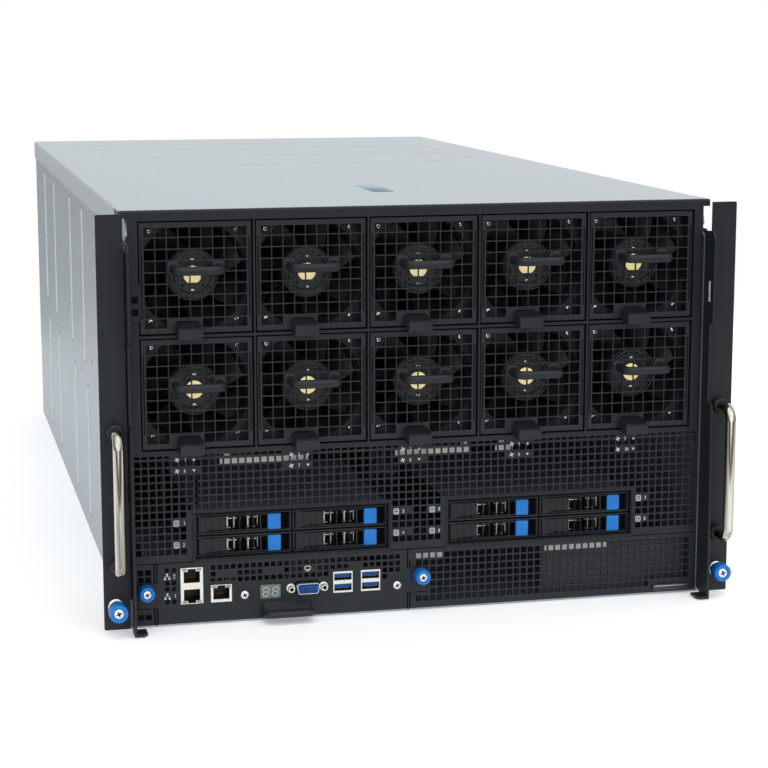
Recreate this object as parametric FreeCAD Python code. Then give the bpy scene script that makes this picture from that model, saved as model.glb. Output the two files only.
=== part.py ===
import FreeCAD, Part
import math
import os

os.makedirs("parts", exist_ok=True)
V = FreeCAD.Vector

# Seven-unit rack server. Lengths in millimetres, +X right, +Y back, +Z up.
# The pieces are laid out from the front face (y = 0) and the chassis underside (z = 0),
# and are moved together at the end so that the origin is the bottom centre of the box.

# Chassis
chassis_width = 447.0
chassis_height = 306.6
chassis_depth = 885.0
tub_sheet = 1.2
cover_sheet = 1.0
cover_gap = 0.3
cover_flange = 17.0
cover_travel = 20.0
deck_sheet = 1.5
cheek_sheet = 1.4
cheek_depth = 80.0
face_sheet = 1.5
floor_setback = 1.8
lip_height = 5.2
lip_depth = 5.0
slip = 0.3

# Fan cage and fan modules
fan_columns = 5
fan_width = 82.6
fan_height = 82.0
fan_depth = 92.0
fan_setback = 1.5
fan_back_gap = 6.5
divider_sheet = 1.4
shelf_sheet = 2.0
cage_top_sheet = 2.3
cage_bottom_sheet = 1.5
grille_sheet = 1.6
grille_border = 4.5
grille_pitch = 8.1
grille_hole = 7.2
skirt_wall = 1.5
skirt_depth = 12.4
border_slit = 0.9
border_slit_end = 12.0
fan_wall = 2.4
fan_screw_radius = 3.2
fan_screw_height = 2.0
fan_screw_inset = 5.25
fan_screw_side = 9.7
stator_radius = 19.0
stator_depth = 8.0
strut_width = 4.0
hub_radius = 19.5
hub_setback = 18.0
hub_depth = 39.0
blade_count = 7
blade_thickness = 1.8
blade_tip_gap = 1.0
shaft_radius = 2.0
shaft_clearance = 0.05
stator_gap = 1.0
handle_span = 36.0
handle_bar = 6.4
handle_leg = 5.0
handle_reach = 19.0
handle_rise = 7.0
latch_width = 18.0
latch_shift = 6.5
latch_height = 7.4
latch_rise = 3.0
latch_drop = 1.3
latch_reach = 15.5
latch_neck_width = 14.0
latch_neck_height = 3.4
latch_plate = 2.0
latch_travel = 3.0
latch_clearance = 0.4

# Vent panel, drive bays and drives
lower_zone_top = 48.0
seam = 0.6
slit_height = 1.8
slit_drop = 3.2
panel_hole = 4.2
panel_pitch = 5.5
panel_border = 4.5
cut_margin = 0.5
bay_one_x = -100.0
bay_two_x = 91.7
bay_rise = 2.0
bay_rim = 4.6
bay_sheet = 0.6
divider_setback = 3.0
drive_rail = 0.975
drive_headroom = 1.6
drive_setback = 4.0
drive_length = 150.0
drive_back_gap = 11.5
ssd_width = 69.85
ssd_length = 100.45
ssd_height = 12.7
tray_floor_sheet = 1.0
bezel_wall = 1.2
bezel_depth = 8.0
bezel_back = 1.5
pin_radius = 1.2
pin_clearance = 0.05
barrel_radius = 2.4
lever_thickness = 4.0
lever_clearance = 0.4
lever_slots = 5
lever_slot_width = 4.4
lever_slot_pitch = 5.1
button_width = 9.8
button_proud = 0.6
button_gap = 6.6

# Input/output tray
tray_left = -201.0
tray_right = -13.0
tray_depth = 240.0
tray_sheet = 1.2
tray_wall_height = 28.0
tray_edge_gap = 3.0
left_tab_width = 14.5
right_tab_width = 15.6
tab_low = 14.6
tab_high = 33.0
tab_knob_inset = 5.4
io_hole = 3.5
io_pitch = 5.0
board_sheet = 1.6
io_board_top = 16.4
port_gap = 0.3
pull_width = 38.0
pull_reach = 20.0
pull_height = 5.0
pull_x = -104.0

# Rack ears, rails, handles and thumbscrews
ear_width = 17.8
ear_sheet = 1.8
ear_setforward = 8.0
ear_low = 2.6
ear_top_gap = 1.5
ear_corner = 0.8
ear_leg_sheet = 1.2
ear_leg_depth = 60.0
rail_sheet = 1.7
rail_reach = 20.0
rail_mid_reach = 14.0
rail_notch = 21.3
rail_upper = 69.0
rail_waist = 62.0
rail_slot_drop = 38.0
rail_slot_height = 16.0
rail_slot_width = 3.2
rail_slot_back = 12.5
rail_depth = 40.0
rail_foot = 8.0
rail_foot_sheet = 2.0
rack_screw_z = 20.0
rack_hole_out = 9.05
ear_handle_length = 100.0
ear_handle_low = 50.0
ear_handle_out = 7.5
ear_handle_reach = 25.0
ear_handle_radius = 4.0
ear_handle_bend = 9.0
ferrule_radius = 6.0
ferrule_length = 6.0
ear_knob_radius = 6.9
ear_knob_length = 12.0
ear_screw_radius = 2.5
ear_screw_length = 14.0
neck_step = 1.2
neck_gap = 0.2
collar_radius = 5.0
collar_length = 6.0
tray_knob_radius = 5.9
tray_knob_length = 9.0
tray_screw_z = 28.0
tray_collar_radius = 4.2
tray_collar_length = 3.0
tray_screw_radius = 2.0
tray_screw_length = 8.0

# Asset tag
tag_width = 27.0
tag_thickness = 3.0
tag_length = 60.0
tag_inset = 19.9
tag_z = 5.6
tag_border = 4.0
tag_header = 3.0
tag_lip = 1.5

# Inside
heatsink_width = 88.0
heatsink_depth = 112.0
heatsink_height = 128.0
heatsink_base = 12.0
heatsink_fins = 9
fin_sheet = 2.0
supply_count = 6
supply_width = 73.2
supply_height = 40.0
supply_depth = 190.0
supply_pull = 20.0
supply_bar = 5.0
post_size = 6.0

# Places that follow from the sizes above
cage_depth = fan_setback + fan_depth + fan_back_gap
fan_bore_radius = min(fan_width, fan_height) / 2 - fan_wall
drive_width = ssd_width + 2 * drive_rail
drive_height = ssd_height + tray_floor_sheet + drive_headroom
drive_cage_length = drive_length + drive_back_gap - face_sheet
bay_floor = lower_zone_top + bay_rise
half_width = chassis_width / 2
wall_out = half_width - cover_sheet - cover_gap
wall_in = wall_out - tub_sheet
rail_in = wall_in - rail_sheet
front_half = rail_in - cheek_sheet
wall_top = chassis_height - cover_sheet - cover_gap
cage_top = chassis_height - lip_height
bay_width = fan_width + 2 * slip
bay_height = fan_height + 2 * slip
fan_pitch_x = bay_width + divider_sheet
fan_pitch_z = bay_height + shelf_sheet
top_row_z = cage_top - cage_top_sheet - bay_height / 2
low_row_z = top_row_z - fan_pitch_z
post_in = fan_columns * fan_pitch_x / 2 - divider_sheet / 2
vent_top = low_row_z - bay_height / 2 - cage_bottom_sheet
cell_width = drive_width + 2 * slip
cell_height = drive_height + 2 * slip
cage_inner_width = 2 * cell_width + bay_sheet
cage_inner_height = 2 * cell_height + bay_sheet
drive_pitch_x = cell_width + bay_sheet
drive_pitch_z = cell_height + bay_sheet
ear_out = half_width + ear_width
rack_screw_x = half_width + rack_hole_out
ear_handle_x = half_width + ear_handle_out
ear_height = chassis_height - ear_low - ear_top_gap
rail_top = wall_top - rail_notch
tag_x = front_half - tag_inset
deck_z = vent_top + 2.0
front_reach = ear_setforward + ear_handle_reach + ear_handle_radius
shift_y = (front_reach - chassis_depth - supply_pull) / 2


def box(x0, x1, y0, y1, z0, z1):
    """Plain block between two corners."""
    return Part.makeBox(x1 - x0, y1 - y0, z1 - z0, V(x0, y0, z0))


def rod_y(x, z, radius, y0, y1):
    """Round bar along the depth."""
    return Part.makeCylinder(radius, y1 - y0, V(x, y0, z), V(0, 1, 0))


def rod_z(x, y, radius, z0, z1):
    """Round bar standing up."""
    return Part.makeCylinder(radius, z1 - z0, V(x, y, z0), V(0, 0, 1))


def loop(points):
    """Closed wire through corner points."""
    return Part.makePolygon(points + [points[0]])


def rect_xz(x0, x1, z0, z1, y):
    """Upright rectangular hole wire at one depth, wound against the outline."""
    return loop([V(x0, y, z0), V(x0, y, z1), V(x1, y, z1), V(x1, y, z0)])


def sheet_xz(outline, holes, y0, y1):
    """Upright sheet with rectangular holes (x0, x1, z0, z1)."""
    wires = [loop([V(x, y0, z) for x, z in outline])]
    for hole in holes:
        wires.append(rect_xz(hole[0], hole[1], hole[2], hole[3], y0))
    return Part.Face(wires).extrude(V(0, y1 - y0, 0))


def plate_xy(points, z0, z1):
    """Flat plate from a plan outline."""
    wire = loop([V(x, y, z0) for x, y in points])
    return Part.Face(wire).extrude(V(0, 0, z1 - z0))


def plate_yz(points, x0, x1):
    """Side plate from a side outline."""
    wire = loop([V(x0, y, z) for y, z in points])
    return Part.Face(wire).extrude(V(x1 - x0, 0, 0))


def fuse(shapes):
    """One clean solid from touching or meeting blocks."""
    whole = shapes[0].multiFuse(shapes[1:])
    return whole.removeSplitter()


def mirror_x(shape):
    """The same piece on the other side."""
    return shape.mirror(V(0, 0, 0), V(1, 0, 0))


def keep(name, solids):
    """Write one node, moved to the common origin."""
    moved = []
    for solid in solids:
        copy = solid.copy()
        copy.translate(V(0, shift_y, 0))
        moved.append(copy)
    whole = moved[0]
    if len(moved) > 1:
        whole = Part.makeCompound(moved)
    whole.exportStep("parts/" + name + ".step")


def grid(x0, x1, z0, z1, pitch, hole, blocks):
    """Square holes filling a field, centred in it, left out where they touch a block."""
    columns = int((x1 - x0 - hole) // pitch) + 1
    rows = int((z1 - z0 - hole) // pitch) + 1
    first_x = (x0 + x1) / 2 - (columns - 1) * pitch / 2
    first_z = (z0 + z1) / 2 - (rows - 1) * pitch / 2
    holes = []
    for i in range(columns):
        for j in range(rows):
            cx = first_x + i * pitch
            cz = first_z + j * pitch
            cell = (cx - hole / 2, cx + hole / 2, cz - hole / 2, cz + hole / 2)
            free = True
            for b in blocks:
                apart = cell[1] <= b[0] or cell[0] >= b[1] or cell[3] <= b[2] or cell[2] >= b[3]
                free = free and apart
            if free:
                holes.append(cell)
    return holes


# Chassis
rib_width = 4.0
rib_height = 0.7
rib_front = 312.0
rib_rear = 263.0
rib_pair = 124.0
rib_stagger = 20.0
upper_rib_low = deck_z + 15.6
upper_rib_high = rail_top - 1.0
lower_rib_low = 16.0
lower_rib_high = deck_z - 0.4
notch_depth = 30.0


def chassis_tub():
    """Floor, two walls with pressed ribs, the deck, the front cheeks and the rear panel."""
    floor = box(-wall_out, wall_out, floor_setback, chassis_depth, 0, tub_sheet)
    side = [(floor_setback, tub_sheet), (chassis_depth, tub_sheet), (chassis_depth, wall_top)]
    side += [(notch_depth, wall_top), (notch_depth, rail_top), (floor_setback, rail_top)]
    beads = [plate_yz(side, wall_in, wall_out)]
    rear_rib = chassis_depth - rib_rear
    for y in (rib_front, rib_front + rib_pair, rear_rib, rear_rib + rib_pair):
        for low, high, off in ((upper_rib_low, upper_rib_high, 0),
                               (lower_rib_low, lower_rib_high, -rib_stagger)):
            bead = box(wall_out - 0.2, wall_out + rib_height, y + off, y + off + rib_width, low, high)
            beads.append(bead)
    wall = fuse(beads)
    rear_low = tub_sheet + supply_height + 3 * slip
    outline = [(-wall_in, tub_sheet), (-wall_in + 0.6, tub_sheet), (-wall_in + 0.6, rear_low)]
    outline += [(wall_in - 0.6, rear_low), (wall_in - 0.6, tub_sheet), (wall_in, tub_sheet)]
    outline += [(wall_in, wall_top), (-wall_in, wall_top)]
    vents = grid(-wall_in + 12, wall_in - 12, deck_z + 12, wall_top - 12, 14.0, 11.0, [])
    vents += grid(-wall_in + 12, wall_in - 12, rear_low + 8, deck_z - 8, 20.0, 14.0, [])
    rear = sheet_xz(outline, vents, chassis_depth - tub_sheet, chassis_depth)
    deck_end = chassis_depth - tub_sheet
    deck = box(-wall_in, wall_in, cage_depth + 6, deck_end, deck_z, deck_z + deck_sheet)
    cheek_face = [(-0.5, tub_sheet), (cheek_depth, tub_sheet), (cheek_depth, cage_top - 1)]
    cheek_face += [(6.0, cage_top - 1), (1.0, rail_top + 5), (6.0, rail_top), (-0.5, rail_top - 4)]
    cheek = plate_yz(cheek_face, front_half, rail_in)
    keep("chassis_tub", [floor, wall, mirror_x(wall), deck, rear, cheek, mirror_x(cheek)])


def top_cover():
    """Folded lid that slides back under the front lip."""
    front = lip_depth + cover_gap
    top = box(-half_width, half_width, front, chassis_depth, chassis_height - cover_sheet, chassis_height)
    low = chassis_height - cover_sheet - cover_flange
    flange = box(half_width - cover_sheet, half_width, notch_depth + 4, chassis_depth, low,
                 chassis_height - cover_sheet)
    keep("top_cover", [fuse([top, flange, mirror_x(flange)])])


# Fan cage
def front_frame():
    """Riveted fan cage of flat sheets with the black lip above it."""
    low = vent_top
    solids = []
    post = box(post_in, front_half, 0, cage_depth, low, cage_top)
    solids.append(post)
    solids.append(mirror_x(post))
    shelf_low = top_row_z - bay_height / 2 - shelf_sheet
    solids.append(box(-post_in, post_in, 0, cage_depth, cage_top - cage_top_sheet, cage_top))
    solids.append(box(-post_in, post_in, 0, cage_depth, shelf_low, shelf_low + shelf_sheet))
    solids.append(box(-post_in, post_in, 0, cage_depth, low, low + cage_bottom_sheet))
    for i in range(1, fan_columns):
        x = (i - fan_columns / 2) * fan_pitch_x
        for z in (top_row_z, low_row_z):
            solids.append(box(x - divider_sheet / 2, x + divider_sheet / 2, 0, cage_depth,
                              z - bay_height / 2, z + bay_height / 2))
    lip = plate_yz([(0, cage_top), (lip_depth, cage_top), (lip_depth, chassis_height),
                    (1.2, chassis_height), (0, chassis_height - 1.2)], -half_width + 0.5, half_width - 0.5)
    solids.append(lip)
    keep("front_frame", solids)


# Fan module, drawn about its own centre line
def fan_carrier():
    """Carrier with grille, skirt and latch notch; housing with stator; screws; pull handle."""
    hw = fan_width / 2
    hh = fan_height / 2
    face = fan_setback
    back = face + grille_sheet
    skirt_end = back + skirt_depth
    rear = face + fan_depth
    neck_x0 = -latch_shift - latch_neck_width / 2 - latch_clearance
    neck_x1 = -latch_shift + latch_neck_width / 2 + latch_clearance
    neck_z0 = -hh + skirt_wall + latch_clearance
    neck_z1 = neck_z0 + latch_neck_height + latch_travel + 3 * latch_clearance
    notch = (neck_x0, neck_x1, neck_z0, neck_z1)
    keep_out = (neck_x0 - 1.1, neck_x1 + 1.1, -hh, neck_z1 + 1.1)
    field = hw - grille_border
    rise = hh - grille_border
    holes = grid(-field, field, -rise, rise, grille_pitch, grille_hole, [keep_out])
    holes.append(notch)
    slit_x = hw - grille_border / 2
    slit_z = hh - border_slit_end
    for side in (-1, 1):
        holes.append((side * slit_x - border_slit / 2, side * slit_x + border_slit / 2, -slit_z, slit_z))
    plate = sheet_xz([(-hw, -hh), (hw, -hh), (hw, hh), (-hw, hh)], holes, face, back)
    wall = (-hw + skirt_wall, hw - skirt_wall, -hh + skirt_wall, hh - skirt_wall)
    skirt = sheet_xz([(-hw, -hh), (hw, -hh), (hw, hh), (-hw, hh)], [wall], back, skirt_end)
    carrier = fuse([plate, skirt])
    housing = box(-hw, hw, skirt_end, rear, -hh, hh)
    housing = housing.cut(rod_y(0, 0, fan_bore_radius, skirt_end - 1, rear + 1))
    stator_front = hub_setback + hub_depth + stator_gap
    stator_back = stator_front + stator_depth
    base = rod_y(0, 0, stator_radius, stator_front, stator_back)
    reach = fan_bore_radius + 1.0
    strut_x = box(-reach, reach, stator_front + 2, stator_back, -strut_width / 2, strut_width / 2)
    strut_z = box(-strut_width / 2, strut_width / 2, stator_front + 2, stator_back, -reach, reach)
    housing = fuse([housing, base, strut_x, strut_z])
    housing = housing.cut(rod_y(0, 0, shaft_radius + shaft_clearance, stator_front - 1, stator_back + 1))
    solids = [carrier, housing]
    spot_x = hw - fan_screw_side
    spot_z = hh - fan_screw_inset
    for sx in (-1, 1):
        for sz in (-1, 1):
            solids.append(rod_y(sx * spot_x, sz * spot_z, fan_screw_radius, skirt_end - fan_screw_height,
                                skirt_end))
    out = handle_span / 2
    inn = out - handle_leg
    tip = face - handle_reach
    bail = [(-out, face), (-out, tip + 2.5), (-out + 2.5, tip), (out - 2.5, tip), (out, tip + 2.5)]
    bail += [(out, face), (inn, face), (inn, tip + handle_bar), (-inn, tip + handle_bar), (-inn, face)]
    solids.append(plate_xy(bail, handle_rise - handle_bar / 2, handle_rise + handle_bar / 2))
    return solids


def fan_rotor():
    """Hub with swept blades, and the shaft that runs in the stator."""
    hub = rod_y(0, 0, hub_radius, hub_setback, hub_setback + hub_depth)
    tip = fan_bore_radius - blade_tip_gap
    root = hub_radius - 1.5
    half = blade_thickness / 2
    mid = hub_setback + hub_depth / 2
    blades = []
    for i in range(blade_count):
        wires = []
        for radius, lead, chord in ((root, 0.0, 26.0), (tip, 12.0, 22.0)):
            slope = math.radians(38.0 if radius == root else 55.0)
            dy = math.cos(slope) * chord / 2
            dx = math.sin(slope) * chord / 2
            nx = math.cos(slope) * half
            ny = math.sin(slope) * half
            depth = math.sqrt(radius * radius - min(dx + abs(lead) / 4, radius * 0.7) ** 2)
            corners = [(-dx - nx, -dy + ny), (dx - nx, dy + ny), (dx + nx, dy - ny), (-dx + nx, -dy - ny)]
            points = [V(lead / 4 + x, mid + y, depth) for x, y in corners]
            wires.append(loop(points))
        blade = Part.makeLoft(wires, True, True)
        blade.rotate(V(0, 0, 0), V(0, 1, 0), 360.0 * i / blade_count)
        blades.append(blade)
    wheel = fuse([hub] + blades)
    end = hub_setback + hub_depth
    shaft = rod_y(0, 0, shaft_radius, end, end + stator_gap + stator_depth)
    return [wheel, shaft]


def fan_latch():
    """Finger tab in front of the grille, neck through the notch, plate behind it."""
    hh = fan_height / 2
    low = -hh - latch_drop
    tab_back = -0.5
    behind = fan_setback + grille_sheet + latch_clearance
    neck_low = -hh + skirt_wall + 2 * latch_clearance
    x = -latch_shift
    tip = tab_back - latch_reach
    side = [(tip, low), (tab_back, low)]
    side += [(tab_back, low + latch_height + latch_rise), (tip, low + latch_height)]
    tab = plate_yz(side, x - latch_width / 2, x + latch_width / 2)
    neck = box(x - latch_neck_width / 2, x + latch_neck_width / 2, tab_back, behind, neck_low,
               neck_low + latch_neck_height)
    wide = latch_neck_width / 2 + 2.0
    plate = box(x - wide, x + wide, behind, behind + latch_plate, neck_low, neck_low + latch_neck_height + 2)
    return [fuse([tab, neck, plate])]


def fans():
    """Ten modules, numbered along the upper row and then the lower row."""
    carrier = fan_carrier()
    rotor = fan_rotor()
    latch = fan_latch()
    number = 0
    for z in (top_row_z, low_row_z):
        for i in range(fan_columns):
            number += 1
            x = (i - (fan_columns - 1) / 2) * fan_pitch_x
            for part, solids in (("carrier", carrier), ("rotor", rotor), ("latch", latch)):
                placed = []
                for solid in solids:
                    copy = solid.copy()
                    copy.translate(V(x, 0, z))
                    placed.append(copy)
                keep("fan_%02d_%s" % (number, part), placed)


# Vent panels and drive cages
def bay_box(centre):
    """Opening of one drive bay in the vent panel."""
    half = cage_inner_width / 2
    return (centre - half, centre + half, bay_floor, bay_floor + cage_inner_height)


def vent_panels():
    """Main perforated panel, lower perforated cover and the small filler beside the tray."""
    edge = front_half - 0.2
    low = lower_zone_top + seam / 2
    bays = [bay_box(bay_one_x), bay_box(bay_two_x)]
    rims = [(b[0] - bay_rim, b[1] + bay_rim, b[2] - bay_rim, b[3] + bay_rim) for b in bays]
    marks = []
    for i in range(fan_columns):
        x = (i - (fan_columns - 1) / 2) * fan_pitch_x
        z = vent_top - panel_border - 1.65 * panel_pitch
        marks.append((x - 18.5, x - 2.0, z - 1, z + 1))
    holes = grid(-edge + 0.6, edge - 0.6, low + panel_border, vent_top - panel_border, panel_pitch,
                 panel_hole, rims + marks)
    slit_top = vent_top - slit_drop + slit_height / 2
    columns = sorted(set((h[0], h[1]) for h in holes))
    for left, right in columns:
        free = True
        for b in marks:
            free = free and (right <= b[0] or left >= b[1])
        if free:
            holes.append((left, right, slit_top - slit_height, slit_top))
    main = sheet_xz([(-edge, low), (edge, low), (edge, vent_top), (-edge, vent_top)], holes + bays,
                    0, face_sheet)
    top = lower_zone_top - seam / 2
    base = seam
    left = tray_right + tray_edge_gap
    tab_end = tray_right + right_tab_width + seam
    tag = (tag_x - tag_width / 2 - slip, tag_x + tag_width / 2 + slip,
           tag_z - tag_thickness / 2 - slip, tag_z + tag_thickness / 2 + slip)
    guard = (tag[0] - tag_border, tag[1] + tag_border, tag[2] - tag_header, tag[3] + tag_header)
    tab_gap = (left, tab_end + 2 * cut_margin, tab_low - seam - cut_margin, tab_high + seam + cut_margin)
    outline = [(left, base), (edge, base), (edge, top), (left, top), (left, tab_high + seam)]
    outline += [(tab_end, tab_high + seam), (tab_end, tab_low - seam), (left, tab_low - seam)]
    holes = grid(left + panel_border, edge - seam, base + panel_border + cut_margin, top - 2.0, panel_pitch,
                 panel_hole, [guard, tab_gap])
    cover = sheet_xz(outline, holes + [tag], 0, face_sheet)
    sleeve = sheet_xz([(tag[0] - 1, tag[2] - 1), (tag[1] + 1, tag[2] - 1), (tag[1] + 1, tag[3] + 1),
                       (tag[0] - 1, tag[3] + 1)], [tag], face_sheet, face_sheet + tag_length - 5)
    right = tray_left - tray_edge_gap
    stop = tray_left - left_tab_width - seam
    outline = [(-edge, base), (right, base), (right, tab_low - seam), (stop, tab_low - seam)]
    outline += [(stop, tab_high + seam), (right, tab_high + seam), (right, top), (-edge, top)]
    holes = grid(-edge + 2, right - 2, tab_high + seam + cut_margin, top - panel_border + seam, panel_pitch,
                 panel_hole, [])
    holes += grid(-edge + 2, right - 2, base + 3, tab_low - 2, panel_pitch, panel_hole, [])
    filler = sheet_xz(outline, holes, 0, face_sheet)
    keep("vent_panels", [main, cover, sleeve, filler])


def drive_cage():
    """Two sheet boxes, each split into four cells, hung behind the vent panel."""
    solids = []
    front = face_sheet
    back = front + drive_cage_length
    inner = drive_setback + divider_setback
    half = cage_inner_width / 2
    for centre in (bay_one_x, bay_two_x):
        low = bay_floor
        high = bay_floor + cage_inner_height
        s = bay_sheet
        solids.append(box(centre - half - s, centre + half + s, front, back, low - s, low))
        solids.append(box(centre - half - s, centre + half + s, front, back, high, high + s))
        solids.append(box(centre - half - s, centre - half, front, back, low, high))
        solids.append(box(centre + half, centre + half + s, front, back, low, high))
        solids.append(box(centre - s / 2, centre + s / 2, inner, back, low, high))
        shelf = low + cell_height
        solids.append(box(centre - half, centre - s / 2, inner, back, shelf, shelf + s))
        solids.append(box(centre + s / 2, centre + half, inner, back, shelf, shelf + s))
    keep("drive_cage", solids)


# Drive, drawn about the centre of its cell
lever_pivot_x = -drive_width / 2 + bezel_wall + 0.2 + barrel_radius
lever_pivot_y = drive_setback + barrel_radius


def drive_carrier():
    """Bezel and tray in one piece, the drive itself and the hinge pin."""
    hw = drive_width / 2
    hh = drive_height / 2
    face = drive_setback
    back = face + bezel_depth
    block = box(-hw, hw, face, back, -hh, hh)
    pocket = box(-hw + bezel_wall, hw - bezel_wall, face - 1, back - bezel_back, -hh + bezel_wall,
                 hh - bezel_wall)
    field = lever_slots * lever_slot_pitch / 2
    window = box(-field, field, back - bezel_back - 1, back + 1, -hh + 3, hh - 3)
    bezel = block.cut(pocket).cut(window)
    rail = drive_rail
    floor = box(-hw, hw, back, drive_length, -hh, -hh + tray_floor_sheet)
    left = box(-hw, -hw + rail, back, drive_length, -hh + tray_floor_sheet, hh - 1)
    right = box(hw - rail, hw, back, drive_length, -hh + tray_floor_sheet, hh - 1)
    tray = fuse([bezel, floor, left, right])
    start = drive_length - ssd_length - 4
    rest = -hh + tray_floor_sheet
    ssd = box(-ssd_width / 2, ssd_width / 2, start, start + ssd_length, rest, rest + ssd_height)
    pin = rod_z(lever_pivot_x, lever_pivot_y, pin_radius, -hh + bezel_wall, hh - bezel_wall)
    return [tray, ssd, pin]


def drive_lever():
    """Slotted lever that swings about the pin, with the blue release block at its end."""
    hw = drive_width / 2
    hh = drive_height / 2 - bezel_wall - lever_clearance
    end = hw - bezel_wall - button_gap - button_width
    face = drive_setback
    slab = box(lever_pivot_x, end, face, face + lever_thickness, -hh, hh)
    barrel = rod_z(lever_pivot_x, lever_pivot_y, barrel_radius, -hh, hh)
    lever = fuse([slab, barrel])
    lever = lever.cut(rod_z(lever_pivot_x, lever_pivot_y, pin_radius + pin_clearance, -hh - 1, hh + 1))
    first = -(lever_slots - 1) * lever_slot_pitch / 2
    for i in range(lever_slots):
        x = first + i * lever_slot_pitch
        slot = box(x - lever_slot_width / 2, x + lever_slot_width / 2, face - 1, face + lever_thickness + 1,
                   -hh + 1.2, hh - 1.2)
        lever = lever.cut(slot)
    block = box(end, end + button_width, face - button_proud, face + lever_thickness, -hh, hh)
    return [lever, block]


def drive_place(number):
    """Centre of the cell that holds one drive, counted down each column."""
    bay = bay_one_x if number < 4 else bay_two_x
    column = (number % 4) // 2
    row = number % 2
    x = bay + (column - 0.5) * drive_pitch_x
    top = bay_floor + cage_inner_height - cell_height / 2
    return x, top - row * drive_pitch_z


def drives():
    """Eight drives with their levers."""
    carrier = drive_carrier()
    lever = drive_lever()
    for number in range(8):
        x, z = drive_place(number)
        for part, solids in (("carrier", carrier), ("lever", lever)):
            placed = []
            for solid in solids:
                copy = solid.copy()
                copy.translate(V(x, 0, z))
                placed.append(copy)
            keep("drive_%d_%s" % (number + 1, part), placed)


# Input/output tray: each port is (x0, x1, z0, z1) on the face
jack_width = 16.6
jack_pair = (-184.3, -184.3 + jack_width, io_board_top, io_board_top + 27.4)
jack_single = (-162.0, -162.0 + jack_width - 1.0, io_board_top, io_board_top + 13.2)
display = (-125.0, -109.6, io_board_top, io_board_top + 10.8)
video = (-105.0, -74.0, io_board_top + 1.0, io_board_top + 13.0)
data_width = 14.8
data_height = 16.2
data_one = (-69.8, -69.8 + data_width, io_board_top + 1.4, io_board_top + 1.4 + data_height)
data_two = (-48.6, -48.6 + data_width, io_board_top + 1.4, io_board_top + 1.4 + data_height)
ports = (jack_pair, jack_single, display, video, data_one, data_two)
board_screws = ((-136.7, 20.6), (-20.6, 20.6))
board_screw_radius = 3.2


def knob(x, z, base, sheet, collar_r, collar_l, knob_r, knob_l, screw_r, screw_l):
    """Captive thumbscrew: collar on the sheet, neck through it, head in front, screw behind."""
    collar = rod_y(x, z, collar_r, base - collar_l, base)
    neck = rod_y(x, z, screw_r + neck_step, base, base + sheet)
    head = rod_y(x, z, knob_r, base - collar_l - knob_l, base - collar_l)
    screw = rod_y(x, z, screw_r, base + sheet, base + sheet + screw_l)
    return fuse([collar, neck, head, screw])


def io_tray():
    """Face in strips between the jack openings, floor, walls, pull tab, thumbscrews, screws."""
    top = lower_zone_top - seam / 2
    base = seam
    left_tab = tray_left - left_tab_width
    right_tab = tray_right + right_tab_width
    outline = [(tray_left, base), (tray_right, base), (tray_right, tab_low), (right_tab, tab_low)]
    outline += [(right_tab, tab_high), (tray_right, tab_high), (tray_right, top), (tray_left, top)]
    outline += [(tray_left, tab_high), (left_tab, tab_high), (left_tab, tab_low), (tray_left, tab_low)]
    cuts = []
    guards = []
    for p in ports:
        cuts.append((p[0] - port_gap, p[1] + port_gap, p[2] - port_gap, p[3] + port_gap))
        guards.append((p[0] - 1.6, p[1] + 1.6, p[2] - 2, p[3] + 2))
    for x, z in board_screws:
        guards.append((x - 7, x + 7, z - 7, z + 7))
    guards.append((jack_pair[0] - 8, jack_single[0] - 1, 0, top))
    field = grid(tray_left + 4, tray_right - 5, io_board_top + 9, top - 2.5, io_pitch, io_hole, guards)
    face = sheet_xz(outline, cuts + field, 0, face_sheet)
    left_knob_x = left_tab + tab_knob_inset
    right_knob_x = right_tab - tab_knob_inset
    hole = tray_screw_radius + neck_step + neck_gap
    face = face.cut(rod_y(left_knob_x, tray_screw_z, hole, -1, face_sheet + 1))
    face = face.cut(rod_y(right_knob_x, tray_screw_z, hole, -1, face_sheet + 1))
    low = tub_sheet + slip
    end = face_sheet + tray_depth
    inset = 2.0
    stations = [left_tab, tray_left, jack_pair[0] - port_gap, jack_pair[1] + port_gap]
    stations += [jack_single[0] - port_gap, jack_single[1] + port_gap, tray_right, right_tab]
    strips = []
    for x0, x1 in zip(stations, stations[1:]):
        strips += face.common(box(x0, x1, 0, face_sheet, 0, lower_zone_top)).Solids
    floor = box(tray_left + inset, tray_right - inset, face_sheet, end, low, low + tray_sheet)
    left = box(tray_left + inset, tray_left + inset + tray_sheet, face_sheet, end, low + tray_sheet,
               tray_wall_height)
    right = box(tray_right - inset - tray_sheet, tray_right - inset, face_sheet, end, low + tray_sheet,
                tray_wall_height)
    half = pull_width / 2
    pull = [(-half, 0), (-half, -pull_reach + 7), (-half + 2, -pull_reach + 2), (-half + 7, -pull_reach)]
    pull += [(half - 7, -pull_reach), (half - 2, -pull_reach + 2), (half, -pull_reach + 7), (half, 0)]
    tab = plate_xy([(pull_x + x, y) for x, y in pull], 1.0, 1.0 + pull_height)
    solids = strips + [floor, left, right, tab]
    for x in (left_knob_x, right_knob_x):
        solids.append(knob(x, tray_screw_z, 0, face_sheet, tray_collar_radius, tray_collar_length,
                           tray_knob_radius, tray_knob_length, tray_screw_radius, tray_screw_length))
    for x, z in board_screws:
        solids.append(rod_y(x, z, board_screw_radius, -1.4, 0))
    keep("io_tray", solids)


jack_cavity = 12.0
jack_cavity_height = 8.6
jack_depth = 24.0
jack_cavity_depth = 15.0
data_cavity = 12.6
data_cavity_height = 5.2
data_tongue = 1.9


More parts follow.
